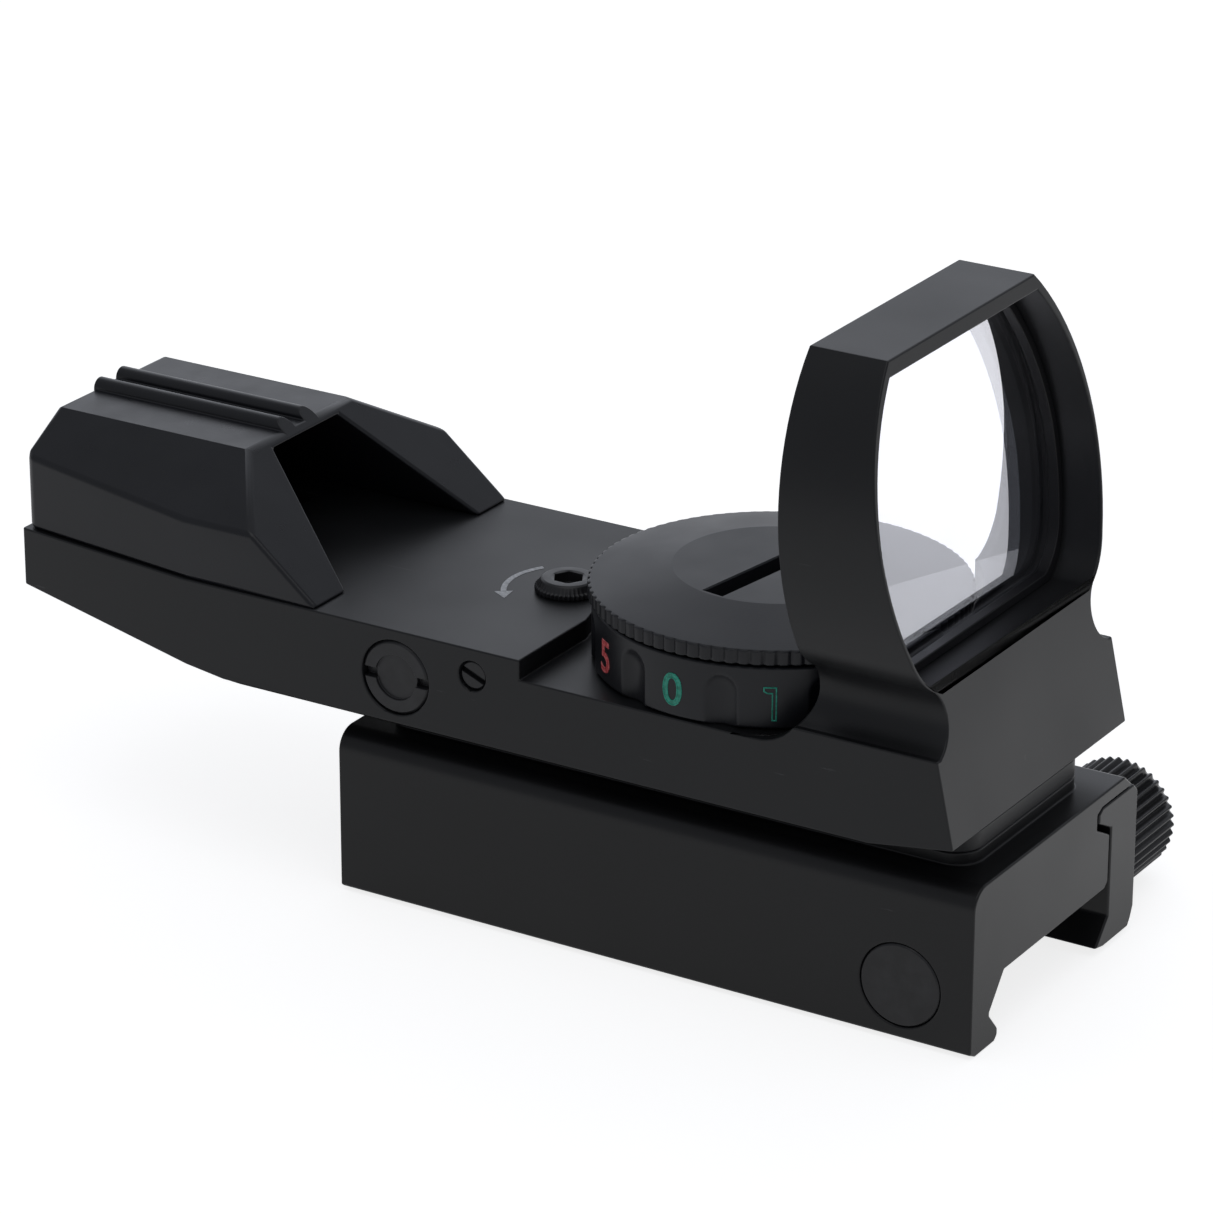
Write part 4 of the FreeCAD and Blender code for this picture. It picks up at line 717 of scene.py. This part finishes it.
def make_thumb_nut():
    """Knurled nut on the cross bolt, with a turned neck against the jaw."""
    teeth, samples, groove = 38, 10, 0.42
    start, end = low("thumb_nut").y, high("thumb_nut").y
    rim = radius_of("thumb_nut", "x")
    bore, neck_radius, neck = 2.55, 4.3, start + 1.6
    loop = rounded([
        (bore, start, 0), (neck_radius, start, 0), (neck_radius, neck, 0), (rim - 0.5, neck, 0.3),
        (rim, neck + 0.45, 1), (rim, neck + 3.2, 1), (rim, end - 3.0, 1), (rim, end - 0.7, 1),
        (rim - 0.6, end - 0.1, 0.2), (rim - 0.9, end, 0), (bore + 1.1, end, 0),
        (bore + 0.9, end - 0.25, 0), (bore + 0.15, end - 0.3, 0), (bore, end - 0.5, 0),
        (bore, start, 0),
    ], 0.1)

    def carve(angle, radius, height, mark):
        return radius - groove * mark * tooth(angle, teeth, 1.2)

    centre = pivot("thumb_nut_turn")
    return turned("thumb_nut_knurled", loop, teeth * samples, (centre.x, 0, centre.z), "nut",
                  "anodised_clamp", ["thumb_nut"], carve, along_y=True)


# ---- figures on the dial ------------------------------------------------------------------------

CAPITAL = 0.72          # height of a figure in the built-in font at size 1
SHADED_GROOVE_INDEX = 1                # material place of the groove between a figure's painted edges, painted darker as painted shade
# darker paint on the face between a figure's edges: painted shade for a groove, whose face lies
# flush with the drum's wall
GROOVE_SHADE_PAINT = {"green": (0.0, 0.05, 0.036), "red": (0.12, 0.012, 0.012)}


def figure_outline(digit, tall, tube):
    """Mesh of a figure in the plane: its face, or a tube round its outline."""
    if digit == 1:
        curve = flagged_one(tall)
    else:
        curve = bpy.data.curves.new(f"figure_{digit}", "FONT")
        curve.body = str(digit)
        curve.align_x = "CENTER"
        curve.align_y = "CENTER"
        curve.size = tall / CAPITAL
        curve.resolution_u = 5
    if tube:
        curve.fill_mode = "NONE"
        curve.bevel_depth = tube
        curve.bevel_resolution = 2
    else:
        curve.extrude = 0.02
    holder = bpy.data.objects.new("figure", curve)
    bpy.context.scene.collection.objects.link(holder)
    graph = bpy.context.evaluated_depsgraph_get()
    data = bpy.data.meshes.new_from_object(holder.evaluated_get(graph))
    mesh = bmesh.new()
    mesh.from_mesh(data)
    bpy.data.objects.remove(holder)
    bpy.data.meshes.remove(data)
    return mesh


def flagged_one(tall):
    """Outline of a 1 with a flag, which the built-in font draws as a bare stroke."""
    top, stroke, flag, left = tall / 2, 0.32, 0.8, -0.1
    right, notch = left + stroke, top - 0.5
    corners = [(left, -top), (right, -top), (right, top), (-flag, top),
               (-flag, top - stroke), (-flag + 0.3, notch), (left, notch)]
    curve = bpy.data.curves.new("figure_1", "CURVE")
    curve.dimensions = "2D"
    line = curve.splines.new("POLY")
    line.points.add(len(corners) - 1)
    for point, (across, up) in zip(line.points, corners):
        point.co = (across, up, 0, 1)
    line.use_cyclic_u = True
    return curve


def wrap_on_drum(mesh, radius, angle, height):
    """Cuts the flat figure into narrow strips and bends it round the dial's axis."""
    strip, cuts = 0.2, 8
    for step in range(-cuts, cuts + 1):
        parts = mesh.verts[:] + mesh.edges[:] + mesh.faces[:]
        bmesh.ops.bisect_plane(mesh, geom=parts, plane_co=(strip * step, 0, 0),
                               plane_no=(1, 0, 0))
    for vert in mesh.verts:
        around, up, out = vert.co
        turn = angle + around / radius
        reach = radius + out
        vert.co = (reach * math.cos(turn), reach * math.sin(turn), height + up)


def make_figures(colour_name, digits, first_stop):
    """One piece per colour: the groove's face in darker paint as painted shade, and its brighter
    walls, wrapped on the drum.
    """
    rim, proud = 0.065, 0.012       # half-width of the painted edge, and how far it stands out
    node = f"dial_numbers_{colour_name}"
    tall = high(node).z - low(node).z
    whole = bmesh.new()
    for stop, digit in enumerate(digits, start=first_stop):
        for tube in (0, rim):
            mesh = figure_outline(digit, tall, tube)
            wrap_on_drum(mesh, DRUM_WALL + (proud if tube else 0),
                         OFF_STOP + stop * TURN / STOPS, middle(node).z)
            piece = bpy.data.meshes.new("figure")
            mesh.to_mesh(piece)
            mesh.free()
            start = len(whole.faces)
            whole.from_mesh(piece)
            bpy.data.meshes.remove(piece)
            whole.faces.ensure_lookup_table()
            for face in whole.faces[start:]:
                face.material_index = 0 if tube else SHADED_GROOVE_INDEX
    figures = finished(f"dial_figures_{colour_name}", whole, (DIAL.x, 0, 0), "dial",
                       f"{colour_name}_paint", [node])
    # the groove's face gets the darker paint: painted shade
    shade = GROOVE_SHADE_PAINT[colour_name]
    figures.data.materials.append(paint(f"{colour_name}_painted_groove_shade", shade, shade))
    return figures


# ---- stage ---------------------------------------------------------------------------------------

def make_floor():
    """Pale floor under the clamp."""
    ground = low("mount_base").z * MM
    half, gap = 6.0, 0.00002
    data = bpy.data.meshes.new("floor")
    corners = [(-half, -half), (half, -half), (half, half), (-half, half)]
    data.from_pydata([(x, y, ground - gap) for x, y in corners], [], [(0, 1, 2, 3)])
    data.materials.append(studio_floor("floor_paper"))
    floor = bpy.data.objects.new("floor", data)
    bpy.context.scene.collection.objects.link(floor)


def softbox(name, place, aim, size, power):
    """Rectangular lamp at place, turned towards aim. Lengths are in metres."""
    data = bpy.data.lights.new(name, "AREA")
    data.shape = "RECTANGLE"
    data.size, data.size_y = size
    data.energy = power
    lamp = bpy.data.objects.new(name, data)
    bpy.context.scene.collection.objects.link(lamp)
    lamp.location = place
    lamp.rotation_mode = "QUATERNION"
    lamp.rotation_quaternion = (Vector(aim) - Vector(place)).to_track_quat("-Z", "Y")


def make_sky():
    """White to the camera; to the object a bright wall far behind it in a dim room."""
    wall_way = (-0.42, 0.86, 0.29)
    wall_starts, wall_full, room_glow, wall_glow = 0.68, 0.97, 0.32, 0.95
    world = bpy.data.worlds.new("studio")
    bpy.context.scene.world = world
    world.use_nodes = True
    tree = world.node_tree
    tree.nodes.clear()
    add, link = tree.nodes.new, tree.links.new
    where = add("ShaderNodeTexCoord")
    toward = add("ShaderNodeVectorMath")
    toward.operation = "DOT_PRODUCT"
    toward.inputs[1].default_value = wall_way
    link(where.outputs["Generated"], toward.inputs[0])
    fade = add("ShaderNodeMapRange")
    fade.interpolation_type = "SMOOTHSTEP"
    for index, value in enumerate((wall_starts, wall_full, room_glow, wall_glow), start=1):
        fade.inputs[index].default_value = value
    link(toward.outputs["Value"], fade.inputs["Value"])
    lit = add("ShaderNodeBackground")
    lit.inputs["Color"].default_value = colour(0.93, 0.965, 1.05)
    link(fade.outputs[0], lit.inputs["Strength"])
    seen = add("ShaderNodeBackground")
    seen.inputs["Strength"].default_value = 2.6
    path = add("ShaderNodeLightPath")
    looking = add("ShaderNodeMath")
    looking.operation = "MAXIMUM"
    link(path.outputs["Is Camera Ray"], looking.inputs[0])
    link(path.outputs["Is Transmission Ray"], looking.inputs[1])
    blend = add("ShaderNodeMixShader")
    link(looking.outputs[0], blend.inputs[0])
    link(lit.outputs[0], blend.inputs[1])
    link(seen.outputs[0], blend.inputs[2])
    out = add("ShaderNodeOutputWorld")
    link(blend.outputs[0], out.inputs[0])


def make_camera():
    """Camera at the front left of the finder, slightly above it, with a long lens."""
    place = (0.21183, -0.36434, 0.19617)
    right = Vector((0.85125, 0.52476, 0.0018))
    up = Vector((-0.20131, 0.32339, 0.9246))
    data = bpy.data.cameras.new("camera")
    data.lens, data.sensor_width = 159.7, 36
    data.clip_start, data.clip_end = 0.01, 50
    camera = bpy.data.objects.new("camera", data)
    bpy.context.scene.collection.objects.link(camera)
    back = right.cross(up).normalized()
    matrix = Matrix((right, up, back)).transposed().to_4x4()
    matrix.translation = place
    camera.matrix_world = matrix
    bpy.context.scene.camera = camera


def make_stage():
    make_floor()
    make_sky()
    softbox("ceiling", (0.1, -0.2, 0.9), (0, 0, 0.02), (0.7, 0.7), 1.2)
    make_camera()
    scene = bpy.context.scene
    scene.view_settings.view_transform = "Standard"
    scene.cycles.use_denoising = True


# ---- build ---------------------------------------------------------------------------------------

dress_cad()
make_cap()
make_drum()
make_elevation_screw()
make_thumb_nut()
make_figures("green", range(0, 6), first_stop=0)
make_figures("red", range(1, 6), first_stop=6)
make_stage()
